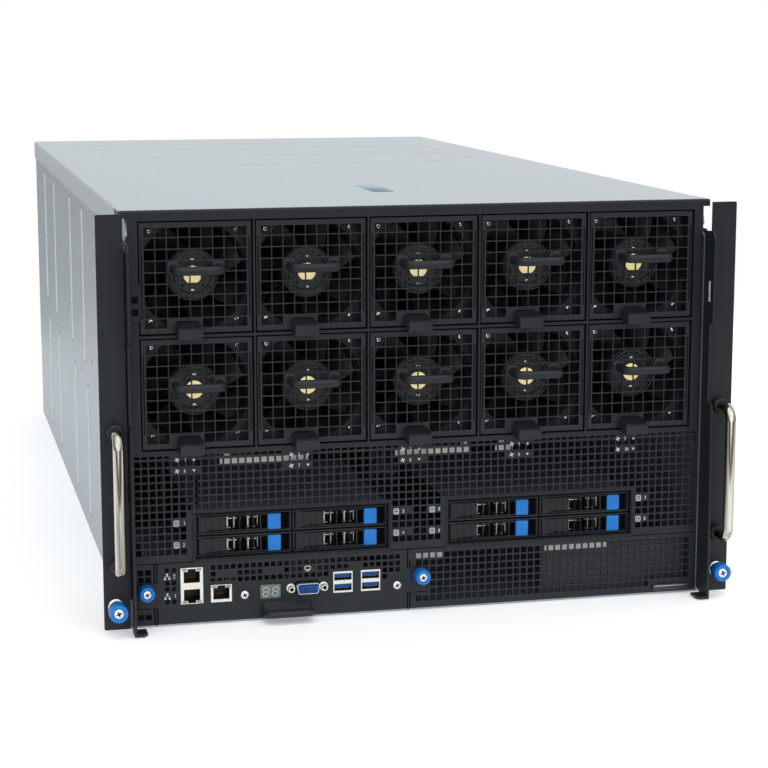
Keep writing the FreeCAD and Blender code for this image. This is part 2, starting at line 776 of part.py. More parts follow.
def jack_block(port, cavities):
    """Network jack: back block, two sides, and a cross plate under, between and over the cavities."""
    front = -0.6
    deep = front + jack_cavity_depth
    centre = (port[0] + port[1]) / 2
    left = centre - jack_cavity / 2
    right = centre + jack_cavity / 2
    solids = [box(port[0], port[1], deep, front + jack_depth, port[2], port[3])]
    solids.append(box(port[0], left, front, deep, port[2], port[3]))
    solids.append(box(right, port[1], front, deep, port[2], port[3]))
    low = port[2]
    for z in cavities:
        solids.append(box(left, right, front, deep, low, z))
        low = z + jack_cavity_height
    solids.append(box(left, right, front, deep, low, port[3]))
    return solids


def data_block(port):
    """Stacked pair of data ports, each with a tongue standing in its cavity."""
    front = -0.6
    shell = box(port[0], port[1], front, front + 18, port[2], port[3])
    centre = (port[0] + port[1]) / 2
    step = data_height / 2
    for row in (0, 1):
        z = port[2] + step * row + (step - data_cavity_height) / 2
        cavity = box(centre - data_cavity / 2, centre + data_cavity / 2, front - 1, front + 12, z,
                     z + data_cavity_height)
        tongue_z = z + data_cavity_height - data_tongue - 0.6
        tongue = box(centre - data_cavity / 2 + 0.8, centre + data_cavity / 2 - 0.8, front + 0.8, front + 13,
                     tongue_z, tongue_z + data_tongue)
        shell = shell.cut(cavity.cut(tongue))
    return shell


def io_ports():
    """Board on four posts with the ports along its front edge."""
    inset = 6.0
    x0 = tray_left + inset
    x1 = tray_right - inset
    low = tub_sheet + slip + tray_sheet
    under = io_board_top - board_sheet
    solids = [box(x0, x1, 4, 190, under, io_board_top)]
    for x in (x0 + 4, x1 - 4 - post_size):
        for y in (12, 170):
            solids.append(box(x, x + post_size, y, y + post_size, low, under))
    solids += jack_block(jack_pair, (jack_pair[2] + 2.4, jack_pair[2] + 16.0))
    solids += jack_block(jack_single, (jack_single[2] + 2.2,))
    solids.append(box(display[0], display[1], -0.3, 7, display[2], display[3]))
    mid = (video[0] + video[1]) / 2
    mid_z = (video[2] + video[3]) / 2
    behind = face_sheet + port_gap
    flange = box(video[0], video[1], 0.2, behind, video[2], video[3])
    shell = sheet_xz([(mid - 8.0, mid_z - 4.2), (mid + 8.0, mid_z - 4.2), (mid + 8.6, mid_z + 4.2),
                      (mid - 8.6, mid_z + 4.2)], [], -5.0, 0.2)
    body = box(video[0] + 4, video[1] - 4, behind, 14, io_board_top, video[3])
    nuts = []
    for side in (-1, 1):
        nuts.append(rod_y(mid + side * 12.5, mid_z, 2.6, -4.6, 0.2))
    solids.append(fuse([flange, shell, body] + nuts))
    seat = face_sheet + port_gap
    seat_one = box(data_one[0], data_one[1], seat, 17, io_board_top, data_one[2])
    seat_two = box(data_two[0], data_two[1], seat, 17, io_board_top, data_two[2])
    solids.append(fuse([data_block(data_one), seat_one]))
    solids.append(fuse([data_block(data_two), seat_two]))
    keep("io_ports", solids)


def asset_tag():
    """Pull-out label card in its sleeve."""
    half = tag_width / 2
    thick = tag_thickness / 2
    card = box(tag_x - half, tag_x + half, 0, tag_length, tag_z - thick, tag_z + thick)
    wide = half + 1
    tall = thick + 1
    lip = box(tag_x - wide, tag_x + wide, -tag_lip - slip, -slip, tag_z - tall, tag_z + tall)
    join = box(tag_x - half, tag_x + half, -slip, 0, tag_z - thick, tag_z + thick)
    keep("asset_tag", [fuse([card, join, lip])])


# Rack ears
def rack_ears():
    """Folded rack ear and forward rail on each side."""
    front = -ear_setforward
    rear = front + ear_sheet
    ear_top = ear_low + ear_height
    outline = [(wall_out, ear_low), (ear_out - ear_corner, ear_low), (ear_out, ear_low + ear_corner)]
    outline += [(ear_out, ear_top - ear_corner), (ear_out - ear_corner, ear_top), (wall_out, ear_top)]
    plate = sheet_xz(outline, [], front, rear)
    hole = ear_screw_radius + neck_step + neck_gap
    plate = plate.cut(rod_y(rack_screw_x, rack_screw_z, hole, front - 1, rear + 1))
    leg = box(wall_out, wall_out + ear_leg_sheet, rear, ear_leg_depth, ear_low + 20, rail_top - 6)
    waist_top = rail_top - rail_upper
    waist_low = waist_top - rail_waist
    side = [(rail_depth, 6.0), (rail_depth, rail_top - 4), (-rail_reach + 4, rail_top)]
    side += [(-rail_reach, rail_top - 5), (-rail_reach, waist_top), (-rail_mid_reach, waist_top - 2)]
    side += [(-rail_mid_reach, waist_low + 1), (-rail_reach - 1, waist_low - 1), (-rail_reach - 4, 0.6)]
    side += [(-10.0, 0.6), (0.0, 6.0)]
    rail = plate_yz(side, rail_in, wall_in)
    slot_top = rail_top - rail_slot_drop
    rail = rail.cut(box(rail_in - 1, wall_in + 1, -rail_slot_back - rail_slot_width / 2,
                        -rail_slot_back + rail_slot_width / 2, slot_top - rail_slot_height, slot_top))
    foot_points = [(rail_in, -rail_reach - 4), (rail_in, -10.0), (rail_in - rail_foot, -10.0)]
    foot_points += [(rail_in - rail_foot, -rail_reach - 1), (rail_in - rail_foot + 3, -rail_reach - 4)]
    foot = plate_xy(foot_points, 0.6, 0.6 + rail_foot_sheet)
    solids = [plate, leg, rail, foot]
    keep("rack_ears", solids + [mirror_x(solid) for solid in solids])


def ear_handles():
    """Bent chrome bars standing on black ferrules."""
    solids = []
    base = -ear_setforward
    start = base - ferrule_length
    tip = base - ear_handle_reach
    low = ear_handle_low
    high = ear_handle_low + ear_handle_length
    bend = ear_handle_bend
    for x in (-ear_handle_x, ear_handle_x):
        k = bend * (1 - math.sqrt(0.5))
        a = V(x, start, high)
        b = V(x, tip + bend, high)
        c = V(x, tip, high - bend)
        d = V(x, tip, low + bend)
        e = V(x, tip + bend, low)
        f = V(x, start, low)
        upper = Part.Arc(b, V(x, tip + k, high - k), c).toShape()
        lower = Part.Arc(d, V(x, tip + k, low + k), e).toShape()
        path = Part.Wire([Part.makeLine(a, b), upper, Part.makeLine(c, d), lower, Part.makeLine(e, f)])
        ring = Part.Wire([Part.makeCircle(ear_handle_radius, a, V(0, -1, 0))])
        solids.append(path.makePipeShell([ring], True, False))
        for z in (low, high):
            solids.append(rod_y(x, z, ferrule_radius, start, base))
    keep("ear_handles", solids)


def thumbscrews():
    """Captive rack screws on the ears."""
    solids = []
    for x in (-rack_screw_x, rack_screw_x):
        solids.append(knob(x, rack_screw_z, -ear_setforward, ear_sheet, collar_radius, collar_length,
                           ear_knob_radius, ear_knob_length, ear_screw_radius, ear_screw_length))
    keep("thumbscrews", solids)


# Inside
def comb(x, y, z, width, depth, height, base, fins):
    """Heatsink with a solid base and upright fins along the air flow."""
    gap = (width - fins * fin_sheet) / (fins - 1)
    points = [(x - width / 2, z), (x + width / 2, z)]
    for i in range(fins - 1, -1, -1):
        left = x - width / 2 + i * (fin_sheet + gap)
        points.append((left + fin_sheet, z + base if i < fins - 1 else z + height))
        if i < fins - 1:
            points.append((left + fin_sheet, z + height))
        points.append((left, z + height))
        if i > 0:
            points.append((left, z + base))
    return sheet_xz(points, [], y, y + depth)


board_front = cage_depth + 50.0
board_width = 410.0
main_front = face_sheet + tray_depth + 88.5
main_length = 330.0
main_width = 400.0
sink_rows = 2
sink_columns = 4
sink_pitch_x = 98.0
sink_pitch_y = 190.0
stick_count = 6
stick_pitch = 8.0


def circuit_boards():
    """Baseboard, mainboard with memory, fan boards and drive backplanes."""
    solids = []
    deck_top = deck_z + deck_sheet
    base_under = deck_top + post_size
    length = sink_rows * sink_pitch_y + 60
    solids.append(box(-board_width / 2, board_width / 2, board_front, board_front + length, base_under,
                      base_under + board_sheet))
    for x in (-board_width / 2 + 4, -post_size / 2, board_width / 2 - 4 - post_size):
        for y in (board_front + 6, board_front + length - 6 - post_size):
            solids.append(box(x, x + post_size, y, y + post_size, deck_top, base_under))
    main_under = tub_sheet + post_size
    main_top = main_under + board_sheet
    solids.append(box(-main_width / 2, main_width / 2, main_front, main_front + main_length, main_under,
                      main_top))
    for x in (-main_width / 2 + 4, -post_size / 2, main_width / 2 - 4 - post_size):
        for y in (main_front + 6, main_front + main_length - 6 - post_size):
            solids.append(box(x, x + post_size, y, y + post_size, tub_sheet, main_under))
    for centre in (-98.0, 98.0):
        for side in (-1, 1):
            for i in range(stick_count):
                x = centre + side * (50 + i * stick_pitch)
                solids.append(box(x - 1.5, x + 1.5, main_front + 90, main_front + 223, main_top,
                                  main_top + 31))
    for z in (top_row_z, low_row_z):
        half = front_half - 2
        solids.append(box(-half, half, cage_depth, cage_depth + board_sheet, z - 10, z + 10))
    back = face_sheet + drive_cage_length
    half = cage_inner_width / 2
    for centre in (bay_one_x, bay_two_x):
        solids.append(box(centre - half, centre + half, back, back + board_sheet, bay_floor,
                          bay_floor + cage_inner_height))
    keep("circuit_boards", solids)


def heatsinks():
    """Eight tall accelerator sinks, four low switch sinks and two processor sinks."""
    solids = []
    base = deck_z + deck_sheet + post_size + board_sheet
    for i in range(sink_columns):
        x = (i - (sink_columns - 1) / 2) * sink_pitch_x
        for j in range(sink_rows):
            y = board_front + 20 + j * sink_pitch_y
            solids.append(comb(x, y, base, heatsink_width, heatsink_depth, heatsink_height, heatsink_base,
                               heatsink_fins))
        y = board_front + 20 + sink_rows * sink_pitch_y - 50
        solids.append(comb(x, y, base, heatsink_width, 60, 50, 8, heatsink_fins))
    top = tub_sheet + post_size + board_sheet
    for x in (-98.0, 98.0):
        solids.append(comb(x, main_front + 100, top, 80, 110, 64, 8, heatsink_fins))
    keep("heatsinks", solids)


def power_supplies():
    """Six supplies side by side on the floor at the rear, each with a pull bail."""
    solids = []
    pitch = supply_width + slip
    low = tub_sheet
    for i in range(supply_count):
        x = (i - (supply_count - 1) / 2) * pitch
        y0 = chassis_depth - supply_depth
        y1 = chassis_depth + 2
        half = supply_width / 2
        case = box(x - half, x + half, y0, y1, low, low + supply_height)
        tip = chassis_depth + supply_pull
        b = supply_bar
        z = low + supply_height - 10
        pull = [(x - 22, y1), (x - 22, tip), (x + 22, tip), (x + 22, y1), (x + 22 - b, y1)]
        pull += [(x + 22 - b, tip - b), (x - 22 + b, tip - b), (x - 22 + b, y1)]
        solids.append(case)
        solids.append(plate_xy(pull, z - b / 2, z + b / 2))
    keep("power_supplies", solids)


chassis_tub()
top_cover()
front_frame()
fans()
vent_panels()
drive_cage()
drives()
io_tray()
io_ports()
asset_tag()
rack_ears()
ear_handles()
thumbscrews()
circuit_boards()
heatsinks()
power_supplies()
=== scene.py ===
# %% [markdown]
# # A seven-unit rack server with ten hot-swap fans
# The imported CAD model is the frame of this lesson: it fixes every size, place and joint, and it is
# never moved. Plain sheets keep their CAD shape and only get a finish. Mouldings, ports, screws and
# perforated fronts are made again as numpy surfaces, because their softened edges catch the light.

# %% Load the frame
import bpy
import numpy as np
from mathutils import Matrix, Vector


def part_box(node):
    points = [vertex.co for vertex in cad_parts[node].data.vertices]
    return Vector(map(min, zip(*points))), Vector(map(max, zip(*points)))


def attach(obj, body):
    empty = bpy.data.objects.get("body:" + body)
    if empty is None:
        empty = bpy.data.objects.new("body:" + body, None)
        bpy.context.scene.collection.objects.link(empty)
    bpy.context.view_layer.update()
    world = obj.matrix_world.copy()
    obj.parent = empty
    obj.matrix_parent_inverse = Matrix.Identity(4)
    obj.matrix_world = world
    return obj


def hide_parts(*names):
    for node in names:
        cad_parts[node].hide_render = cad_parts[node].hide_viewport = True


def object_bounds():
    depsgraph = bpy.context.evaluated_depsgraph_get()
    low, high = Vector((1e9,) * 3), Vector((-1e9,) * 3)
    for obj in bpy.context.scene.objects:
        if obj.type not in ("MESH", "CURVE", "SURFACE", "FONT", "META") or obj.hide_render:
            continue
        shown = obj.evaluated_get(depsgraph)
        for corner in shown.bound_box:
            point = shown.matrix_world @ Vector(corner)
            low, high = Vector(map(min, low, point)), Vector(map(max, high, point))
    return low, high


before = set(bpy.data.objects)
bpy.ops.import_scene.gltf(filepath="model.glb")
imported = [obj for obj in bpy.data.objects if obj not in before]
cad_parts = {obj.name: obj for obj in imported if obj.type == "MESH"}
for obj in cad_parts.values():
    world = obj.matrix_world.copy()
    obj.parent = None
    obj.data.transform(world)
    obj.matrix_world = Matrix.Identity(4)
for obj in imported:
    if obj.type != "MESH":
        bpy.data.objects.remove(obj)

cad_box = [[float(v) for v in corner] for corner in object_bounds()]
front = float(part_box("vent_panels")[0][1])
print("CAD box in metres", np.round(cad_box, 4).tolist(), "front sheet at y", round(front, 4))

# %% [markdown]
# ## Shells from arrays
# Nearly every moulding here is a stack of closed outlines joined by quads, so one loft serves bars,
# housings, caps and screws. Blender's primitives and edit-mode tools could make them too, but whole
# arrays are quicker and keep every size in sight. A volume test turns the faces outwards, so that
# mirrored outlines need no care. Lengths are in millimetres, with y counted back from the front sheet
# and z up from the underside.

# %% Loft and prism
TURN = 2 * np.pi
SIDES = (("left", -1), ("right", 1))


def outward(points, faces):
    """Six times the volume is the sum of p0 . (p1 x p2) over each face's fan; if negative, faces flip."""
    six = sum(np.einsum("fi,fki->", points[f][:, 0], np.cross(points[f][:, 1:-1], points[f][:, 2:]))
              for f in faces)
    return faces if six > 0 else [f[:, ::-1] for f in faces]


def loft(loops, finish, ring=False):
    """Outline i joins outline i + 1 point by point; a ring joins last to first, else the ends are capped."""
    loops = np.asarray(loops, float)
    m, k = loops.shape[:2]
    i, j = np.meshgrid(np.arange(m if ring else m - 1), np.arange(k), indexing="ij")
    up, on = (i + 1) % m, (j + 1) % k
    faces = [np.stack([i * k + j, i * k + on, up * k + on, up * k + j], -1).reshape(-1, 4)]
    if not ring:
        faces += [np.arange(k)[None, ::-1], np.arange((m - 1) * k, m * k)[None]]
    points = loops.reshape(-1, 3)
    return points, outward(points, faces), finish


def level(outline, depth, axis=1):
    """Pairs lifted to one depth along x (axis 0), y (1) or z (2)."""
    return np.insert(np.asarray(outline, float), axis, depth, axis=1)


def prism(outline, low, high, finish, axis=1):
    """An outline carried straight along one axis."""
    return loft([level(outline, low, axis), level(outline, high, axis)], finish)


def rectangle(x0, x1, z0, z1):
    """The four corners between two edges each way."""
    return [(x0, z0), (x1, z0), (x1, z1), (x0, z1)]


def bar(x0, x1, y0, y1, z0, z1, finish):
    """A rectangle carried along the depth."""
    return prism(rectangle(x0, x1, z0, z1), y0, y1, finish)


def joined(groups):
    """Several lists of shells as one list."""
    return [shell for group in groups for shell in group]


print("lofts, prisms and bars ready")


# %% Outlines and soft edges
def polar(radius, angle):
    """Pairs of radius times cosine and radius times sine."""
    return np.stack([radius * np.cos(angle), radius * np.sin(angle)], -1)


def circle(radius, u=0.0, v=0.0, steps=32):
    """Points at equal angles."""
    return polar(radius, np.arange(steps) * TURN / steps) + (u, v)


def rounded(width, height, radius, u=0.0, v=0.0, steps=5):
    """Rectangle whose corners are quarter circles."""
    t = np.arange(4)[:, None] * TURN / 4 + np.linspace(0, TURN / 4, steps)
    su = np.array([1, -1, -1, 1])[:, None] * (width / 2 - radius)
    sv = np.array([1, 1, -1, -1])[:, None] * (height / 2 - radius)
    return np.stack([u + su + radius * np.cos(t), v + sv + radius * np.sin(t)], -1).reshape(-1, 2)


def oval(half_u, half_v, power=2.6, steps=20):
    """Superellipse |u/a|^p + |v/b|^p = 1, the softened section of a moulded grip."""
    t = np.arange(steps) * TURN / steps
    c, s = np.cos(t), np.sin(t)
    return np.stack([half_u * np.sign(c) * abs(c) ** (2 / power),
                     half_v * np.sign(s) * abs(s) ** (2 / power)], -1)


def spun(pairs, angle):
    """Pairs turned about zero: (u cos - v sin, u sin + v cos)."""
    c, s = np.cos(angle), np.sin(angle)
    return pairs @ np.array([[c, s], [-s, c]])


def inset(outline, by):
    """Each corner moves in along its mitre: the sum of its two edge normals over one plus their product."""
    p = np.asarray(outline, float)
    e = np.roll(p, -1, 0) - p
    n = np.stack([e[:, 1], -e[:, 0]], -1) / np.linalg.norm(e, axis=1, keepdims=True)
    area = (p[:, 0] * np.roll(p[:, 1], -1) - p[:, 1] * np.roll(p[:, 0], -1)).sum()
    before = np.roll(n, 1, 0)
    return p - by * np.sign(area) * (n + before) / (1 + (n * before).sum(1, keepdims=True))


def softened(outline, low, high, edge, finish, axis=1):
    """A prism with round rims: at angle a, inset by edge (1 - sin a) and set in by edge (1 - cos a)."""
    a = np.linspace(0, TURN / 4, 4)
    rims = [inset(outline, edge * (1 - np.sin(t))) for t in a]
    depths = edge * (1 - np.cos(a))
    near = [level(o, low + d, axis) for o, d in zip(rims, depths)]
    far = [level(o, high - d, axis) for o, d in zip(rims, depths)]
    return loft(near + far[::-1], finish)


def pad(size, at, corner, depth, edge, finish, steps=4, axis=1):
    """A softened plate: a rounded rectangle of a size, at a place, between two depths."""
    return softened(rounded(*size, corner, *at, steps), *depth, edge, finish, axis)


def rim_ring(outline, section, finish):
    """Rows of inset and depth carried round one outline and closed on themselves."""
    return loft([level(inset(outline, by), y) for by, y in section], finish, ring=True)


print("outlines, softened plates and rims ready")


# %% Turned and swept shells
def turned(profile, finish, x=0.0, z=0.0, steps=32, lobes=0):
    """Rows of radius, depth and flute go round the depth axis; a flute dips the radius, lobes times."""
    rows = np.asarray(profile, float)
    flute = rows[:, 2:3] if rows.shape[1] > 2 else 0.0
    t = np.arange(steps) * TURN / steps
    r = rows[:, :1] - flute * (0.5 - 0.5 * np.cos(lobes * t))
    y = np.repeat(rows[:, 1:2], steps, 1)
    return loft(np.stack([x + r * np.cos(t), y, z + r * np.sin(t)], -1), finish)


def swept(path, section, up, finish):
    """A section of (side, up) pairs carried along a flat path, each outline square to the path there."""
    path = np.asarray(path, float)
    runs = np.diff(path, axis=0)
    runs /= np.linalg.norm(runs, axis=1, keepdims=True)
    along = np.concatenate([runs[:1], runs[:-1] + runs[1:], runs[-1:]])
    along /= np.linalg.norm(along, axis=1, keepdims=True)
    side = np.cross(along, up)[:, None]
    section = np.asarray(section, float)[None]
    return loft(path[:, None] + section[..., :1] * side + section[..., 1:] * np.asarray(up, float), finish)


def bail(half, length, radius, steps=7):
    """Two legs and a cross bar joined by quarter circles, as (across, back) pairs with the bar at back 0."""
    t = np.linspace(0, TURN / 4, steps)
    bend = np.stack([-half + radius * (1 - np.cos(t)), radius * (1 - np.sin(t))], -1)
    arm = np.concatenate([[[-half, length]], bend])
    return np.concatenate([arm, arm[::-1] * (-1, 1)])


def shifted(shells, dx, dz):
    """The same shells a step across and up."""
    return [(p + (dx, 0, dz), f, m) for p, f, m in shells]


QUARTERS = {"left": [[0, 1, 0], [-1, 0, 0], [0, 0, 1]], "right": [[0, -1, 0], [1, 0, 0], [0, 0, 1]],
            "back": [[-1, 0, 0], [0, -1, 0], [0, 0, 1]]}


def aimed(shells, side, at):
    """Shells that face the front are turned about the upright axis to face a side, then moved to a place."""
    return [(p @ np.array(QUARTERS[side], float).T + at, f, m) for p, f, m in shells]


print("turned and swept shells ready")

# %% [markdown]
# ## Punched sheets and screw heads
# The front is mostly perforated steel. A Boolean could cut each hole, but hundreds of cuts are slow
# and leave slivers. So a sheet is divided into cells at every hole edge; cells inside a hole are left
# out, and a wall stands wherever a kept cell meets a missing one. The result is one closed shell with
# no stray corners, and a small Bevel can run round every hole.


# %% Punched sheet
def punched(outer, holes, y0, y1, finish):
    """Cells between all hole edges; kept ones give both faces, each kept-to-missing edge gives a wall."""
    holes = np.asarray(holes, float).reshape(-1, 4)
    xs = np.unique(np.round(np.r_[outer[:2], holes[:, :2].ravel()], 3))
    zs = np.unique(np.round(np.r_[outer[2:], holes[:, 2:].ravel()], 3))
    mx, mz = (xs[:-1] + xs[1:]) / 2, (zs[:-1] + zs[1:]) / 2
    in_x = (mx[:, None] > holes[:, 0]) & (mx[:, None] < holes[:, 1])
    in_z = (mz[:, None] > holes[:, 2]) & (mz[:, None] < holes[:, 3])
    keep = np.pad((in_x.astype(int) @ in_z.T.astype(int)) == 0, 1)
    count = len(xs) * len(zs)
    grid = np.arange(count).reshape(len(xs), len(zs))
    i, j = np.nonzero(keep[1:-1, 1:-1])
    a, b, c, d = grid[i, j], grid[i + 1, j], grid[i + 1, j + 1], grid[i, j + 1]
    faces = [np.stack([a, b, c, d], -1), np.stack([d, c, b, a], -1) + count]
    for axis in (0, 1):
        change = np.diff(keep.astype(int), axis=axis)
        change = change[:, 1:-1] if axis == 0 else change[1:-1]
        for sign in (1, -1):
            i, j = np.nonzero(change == sign)
            p, q = grid[i, j], grid[i + axis, j + 1 - axis]
            wall = np.stack([p, q, q + count, p + count], -1)
            faces.append(wall if (sign == 1) == (axis == 0) else wall[:, ::-1])
    gx, gz = np.meshgrid(xs, zs, indexing="ij")
    layer = np.stack([gx.ravel(), np.zeros(count), gz.ravel()], -1)
    points = np.concatenate([layer + (0, y0, 0), layer + (0, y1, 0)])
    used, compact = np.unique(np.concatenate(faces), return_inverse=True)
    return points[used], outward(points[used], [compact.reshape(-1, 4)]), finish


def hole_field(x0, x1, z0, z1, pitch, hole, blocks=()):
    """Square holes on a pitch, centred in a field, as (x0, x1, z0, z1), but none that touches a block."""
    nx, nz = int((x1 - x0 - hole) // pitch) + 1, int((z1 - z0 - hole) // pitch) + 1
    cx = (x0 + x1) / 2 + (np.arange(nx) - (nx - 1) / 2) * pitch
    cz = (z0 + z1) / 2 + (np.arange(nz) - (nz - 1) / 2) * pitch
    gx, gz = (g.ravel() for g in np.meshgrid(cx, cz, indexing="ij"))
    cells = np.stack([gx - hole / 2, gx + hole / 2, gz - hole / 2, gz + hole / 2], -1)
    b = np.asarray(blocks, float).reshape(-1, 4)
    touch = ((cells[:, 1:2] > b[:, 0]) & (cells[:, :1] < b[:, 1])
             & (cells[:, 3:] > b[:, 2]) & (cells[:, 2:3] < b[:, 3]))
    return cells[~touch.any(1)]


print("punched sheets ready")

# %% Screw head and printed stroke
INK = 0.1
# Cosine and sine of the 20 degrees by which every cross is turned.
CROSS_TURN = np.array([[0.94, 0.34], [-0.34, 0.94]])


def cross_head(x, z, y, radius, height, finish):
    """Pan screw facing the front: circles shrink to a cross-shaped mouth that sinks to a floor of painted
    shade.
    """
    arm, wide = 0.56, 0.15
    corner = np.array([(arm, -wide), (arm, wide), (wide, wide)])
    cross = np.concatenate([spun(corner, t) for t in np.arange(4) * TURN / 4])
    onward = np.roll(cross, -1, 0) - cross
    cross = (cross[:, None] + np.linspace(0, 1, 4)[:3, None] * onward[:, None]).reshape(-1, 2)
    rim = cross / np.linalg.norm(cross, axis=1, keepdims=True)
    # Each row is an outline, its share of the radius and its share of the height.
    rows = [(rim, 1.0, 0.0), (rim, 1.0, 0.45), (rim, 0.95, 0.68), (rim, 0.84, 0.86), (rim, 0.7, 0.95),
            (cross, 1.0, 1.0), (cross, 0.8, 0.35)]
    loops = [level(o @ CROSS_TURN * s * radius + (x, z), y - r * height) for o, s, r in rows]
    floor_line = cross @ CROSS_TURN * 0.9 * radius + (x, z)
    return [loft(loops, finish), prism(floor_line, y - 0.72 * height, y - 0.3 * height, painted_shade_black)]


def stroke(pairs, x, z, width, finish, size=1.0, y=-INK / 2):
    """A printed line: a flat ribbon as thick as the ink that follows pairs on the face."""
    path = level(np.asarray(pairs, float) * size + (x, z), y)
    section = rectangle(-width / 2, width / 2, -INK / 2, INK / 2)
    return swept(path, section, (0, 1, 0), finish)


print("screw heads and strokes ready")


# %% Pieces and places
def piece(name, body, shells, stands_for=(), bevel=0.0, segments=2, smooth=40):
    """Shells joined in one mesh by foreach_set, one material slot for each finish; it rides on a body."""
    finishes = list(dict.fromkeys(m for _, _, m in shells))
    starts = np.cumsum([0] + [len(p) for p, _, _ in shells])
    points = np.concatenate([p for p, _, _ in shells]) / 1000 + (0, front, 0)
    parts = [(f + s, finishes.index(m)) for (_, faces, m), s in zip(shells, starts) for f in faces]
    sizes = np.concatenate([np.full(len(f), f.shape[1]) for f, _ in parts])
    mesh = bpy.data.meshes.new(name)
    mesh.vertices.add(len(points))
    mesh.vertices.foreach_set("co", points.ravel())
    mesh.loops.add(int(sizes.sum()))
    mesh.loops.foreach_set("vertex_index", np.concatenate([f.ravel() for f, _ in parts]))
    mesh.polygons.add(len(sizes))
    mesh.polygons.foreach_set("loop_start", np.cumsum(sizes) - sizes)
    mesh.polygons.foreach_set("material_index", np.concatenate([np.full(len(f), k) for f, k in parts]))
    mesh.polygons.foreach_set("use_smooth", np.ones(len(sizes), bool))
    for m in finishes:
        mesh.materials.append(m)
    mesh.update(calc_edges=True)
    mesh.validate()
    mesh.set_sharp_from_angle(angle=np.radians(smooth))
    made = bpy.data.objects.new(name, mesh)
    bpy.context.scene.collection.objects.link(made)
    if bevel:
        edge = made.modifiers.new("softened edge", "BEVEL")
        edge.width, edge.segments, edge.limit_method = bevel / 1000, segments, "ANGLE"
        edge.angle_limit, edge.harden_normals = np.radians(smooth), True
    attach(made, body)
    if stands_for:
        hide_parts(*stands_for)
    return made


def span(node):
    """Low and high corners of a CAD node in millimetres, with y counted from the front sheet."""
    return [np.array(corner) * 1000 - (0, front * 1000, 0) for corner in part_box(node)]


def middle(node):
    """x and z of the middle of a CAD node's box."""
    low, high = span(node)
    return ((low + high) / 2)[[0, 2]]


def coat(node, material):
    """A CAD node keeps its shape and takes a finish in every slot."""
    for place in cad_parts[node].material_slots:
        place.material = material


print("fan 1 is centred at", np.round(middle("fan_01_carrier"), 2), "mm")

# %% [markdown]
# ## Finishes
# Each finish starts from the real material and from how its surface was made. Image textures could
# give it, but a few nodes need no file and stay sharp from close by. One function turns sRGB hex into
# linear light, one adds a node with its settings and links, and the common finish drives colour,
# roughness and relief from one noise. It reads Object coordinates, so that a grain keeps its size in
# millimetres on every piece.


# %% Node helper and the common finish
def linear(code):
    """sRGB to linear: c / 12.92 when dark, else ((c + 0.055) / 1.055) ** 2.4."""
    c = np.array([int(code[i:i + 2], 16) for i in (1, 3, 5)]) / 255
    return (*np.where(c <= 0.04045, c / 12.92, ((c + 0.055) / 1.055) ** 2.4).tolist(), 1.0)


def add(tree, kind, sockets=None, **settings):
    """One node: settings are its attributes; a socket is linked when given an output, and set otherwise."""
    made = tree.nodes.new("ShaderNode" + kind)
    for key, value in settings.items():
        setattr(made, key, value)
    for key, value in (sockets or {}).items():
        if isinstance(value, bpy.types.NodeSocket):
            tree.links.new(value, made.inputs[key])
        else:
            made.inputs[key].default_value = value
    return made


def finish(name, dark, light, *, roughness, grain, metallic=0.0, spread=0.05, relief=0.004,
           stretch=(1, 1, 1), **sockets):
    """Noise with a grain in mm runs dark to light, spreads the roughness and lifts a relief in mm."""
    noise_low, noise_high = 0.3, 0.7
    made = bpy.data.materials.new(name)
    made.use_nodes = True
    tree = made.node_tree
    tree.nodes.clear()
    place = add(tree, "TexCoord").outputs["Object"]
    place = add(tree, "Mapping", {"Vector": place, "Scale": stretch}).outputs["Vector"]
    noise = add(tree, "TexNoise", {"Vector": place, "Scale": 1000 / grain, "Detail": 3.0}).outputs[0]
    tint = add(tree, "ValToRGB", {"Fac": noise})
    for stop, at, code in zip(tint.color_ramp.elements, (noise_low, noise_high), (dark, light)):
        stop.position, stop.color = at, linear(code)
    rough = add(tree, "MapRange", {"Value": noise, "From Min": noise_low, "From Max": noise_high,
                                   "To Min": roughness - spread, "To Max": roughness + spread})
    bump = add(tree, "Bump", {"Height": noise, "Distance": relief / 1000})
    shader = add(tree, "BsdfPrincipled", {
        "Base Color": tint.outputs["Color"], "Metallic": metallic, "Roughness": rough.outputs["Result"],
        "Normal": bump.outputs["Normal"], **{key.replace("_", " "): value for key, value in sockets.items()}})
    add(tree, "OutputMaterial", {"Surface": shader.outputs["BSDF"]})
    return made


print("finish builder ready")

# %% [markdown]
# ## Galvanised chassis
# The tub is hot-dip galvanised steel: a grey metal with a soft, slightly cloudy shine, because zinc
# crystals a few millimetres wide scatter the light. The CAD tub already has its rear vents and its
# ribs, so it keeps its shape. A bump in the material could round the ribs off, but it would vanish at
# a flat angle, so a soft oval bead is laid over each rib. Rivets are small turned domes.

# %% Zinc, plating and painted shade
# Crystals of 7 mm show only as a faint cloud.
zinc = finish("galvanised_sheet_steel", "#99A2A8", "#A9B2B8", metallic=0.75, roughness=0.46, grain=7.0)
# Bright plating on a turned head gives small, clear, silvery highlights.
screw_zinc = finish("zinc_plated_screw_steel", "#D2D4D6", "#E8E9EA", metallic=1.0, roughness=0.26, grain=1.5,
                    relief=0.002)
# Painted shade: a near-black for deep corners, holes and driven crosses, where next to no light gets in.
painted_shade_black = finish("painted_recess_shade", "#0A0A0B", "#101112", roughness=0.7, grain=1.0,
                      Specular_IOR_Level=0.05)
# The cage steel is painted a thin, dull dark grey with some metal in it: painted shade for sheet that stands
# deep behind the front.
cage_painted_shade = finish("cage_steel_painted_shade", "#121416", "#1A1C1F", metallic=0.4, roughness=0.5,
                    grain=3.0)
# The beads are painted lighter and less metallic than the wall: a painted highlight where their flanks catch
# the light.
bead_painted_highlight = finish("zinc_bead_painted_highlight", "#BCC4C9", "#C9D0D4", metallic=0.15, roughness=0.5, grain=5.0)
coat("chassis_tub", zinc)
coat("drive_cage", cage_painted_shade)
print("tub in", zinc.name, "and drive cages in", cage_painted_shade.name)

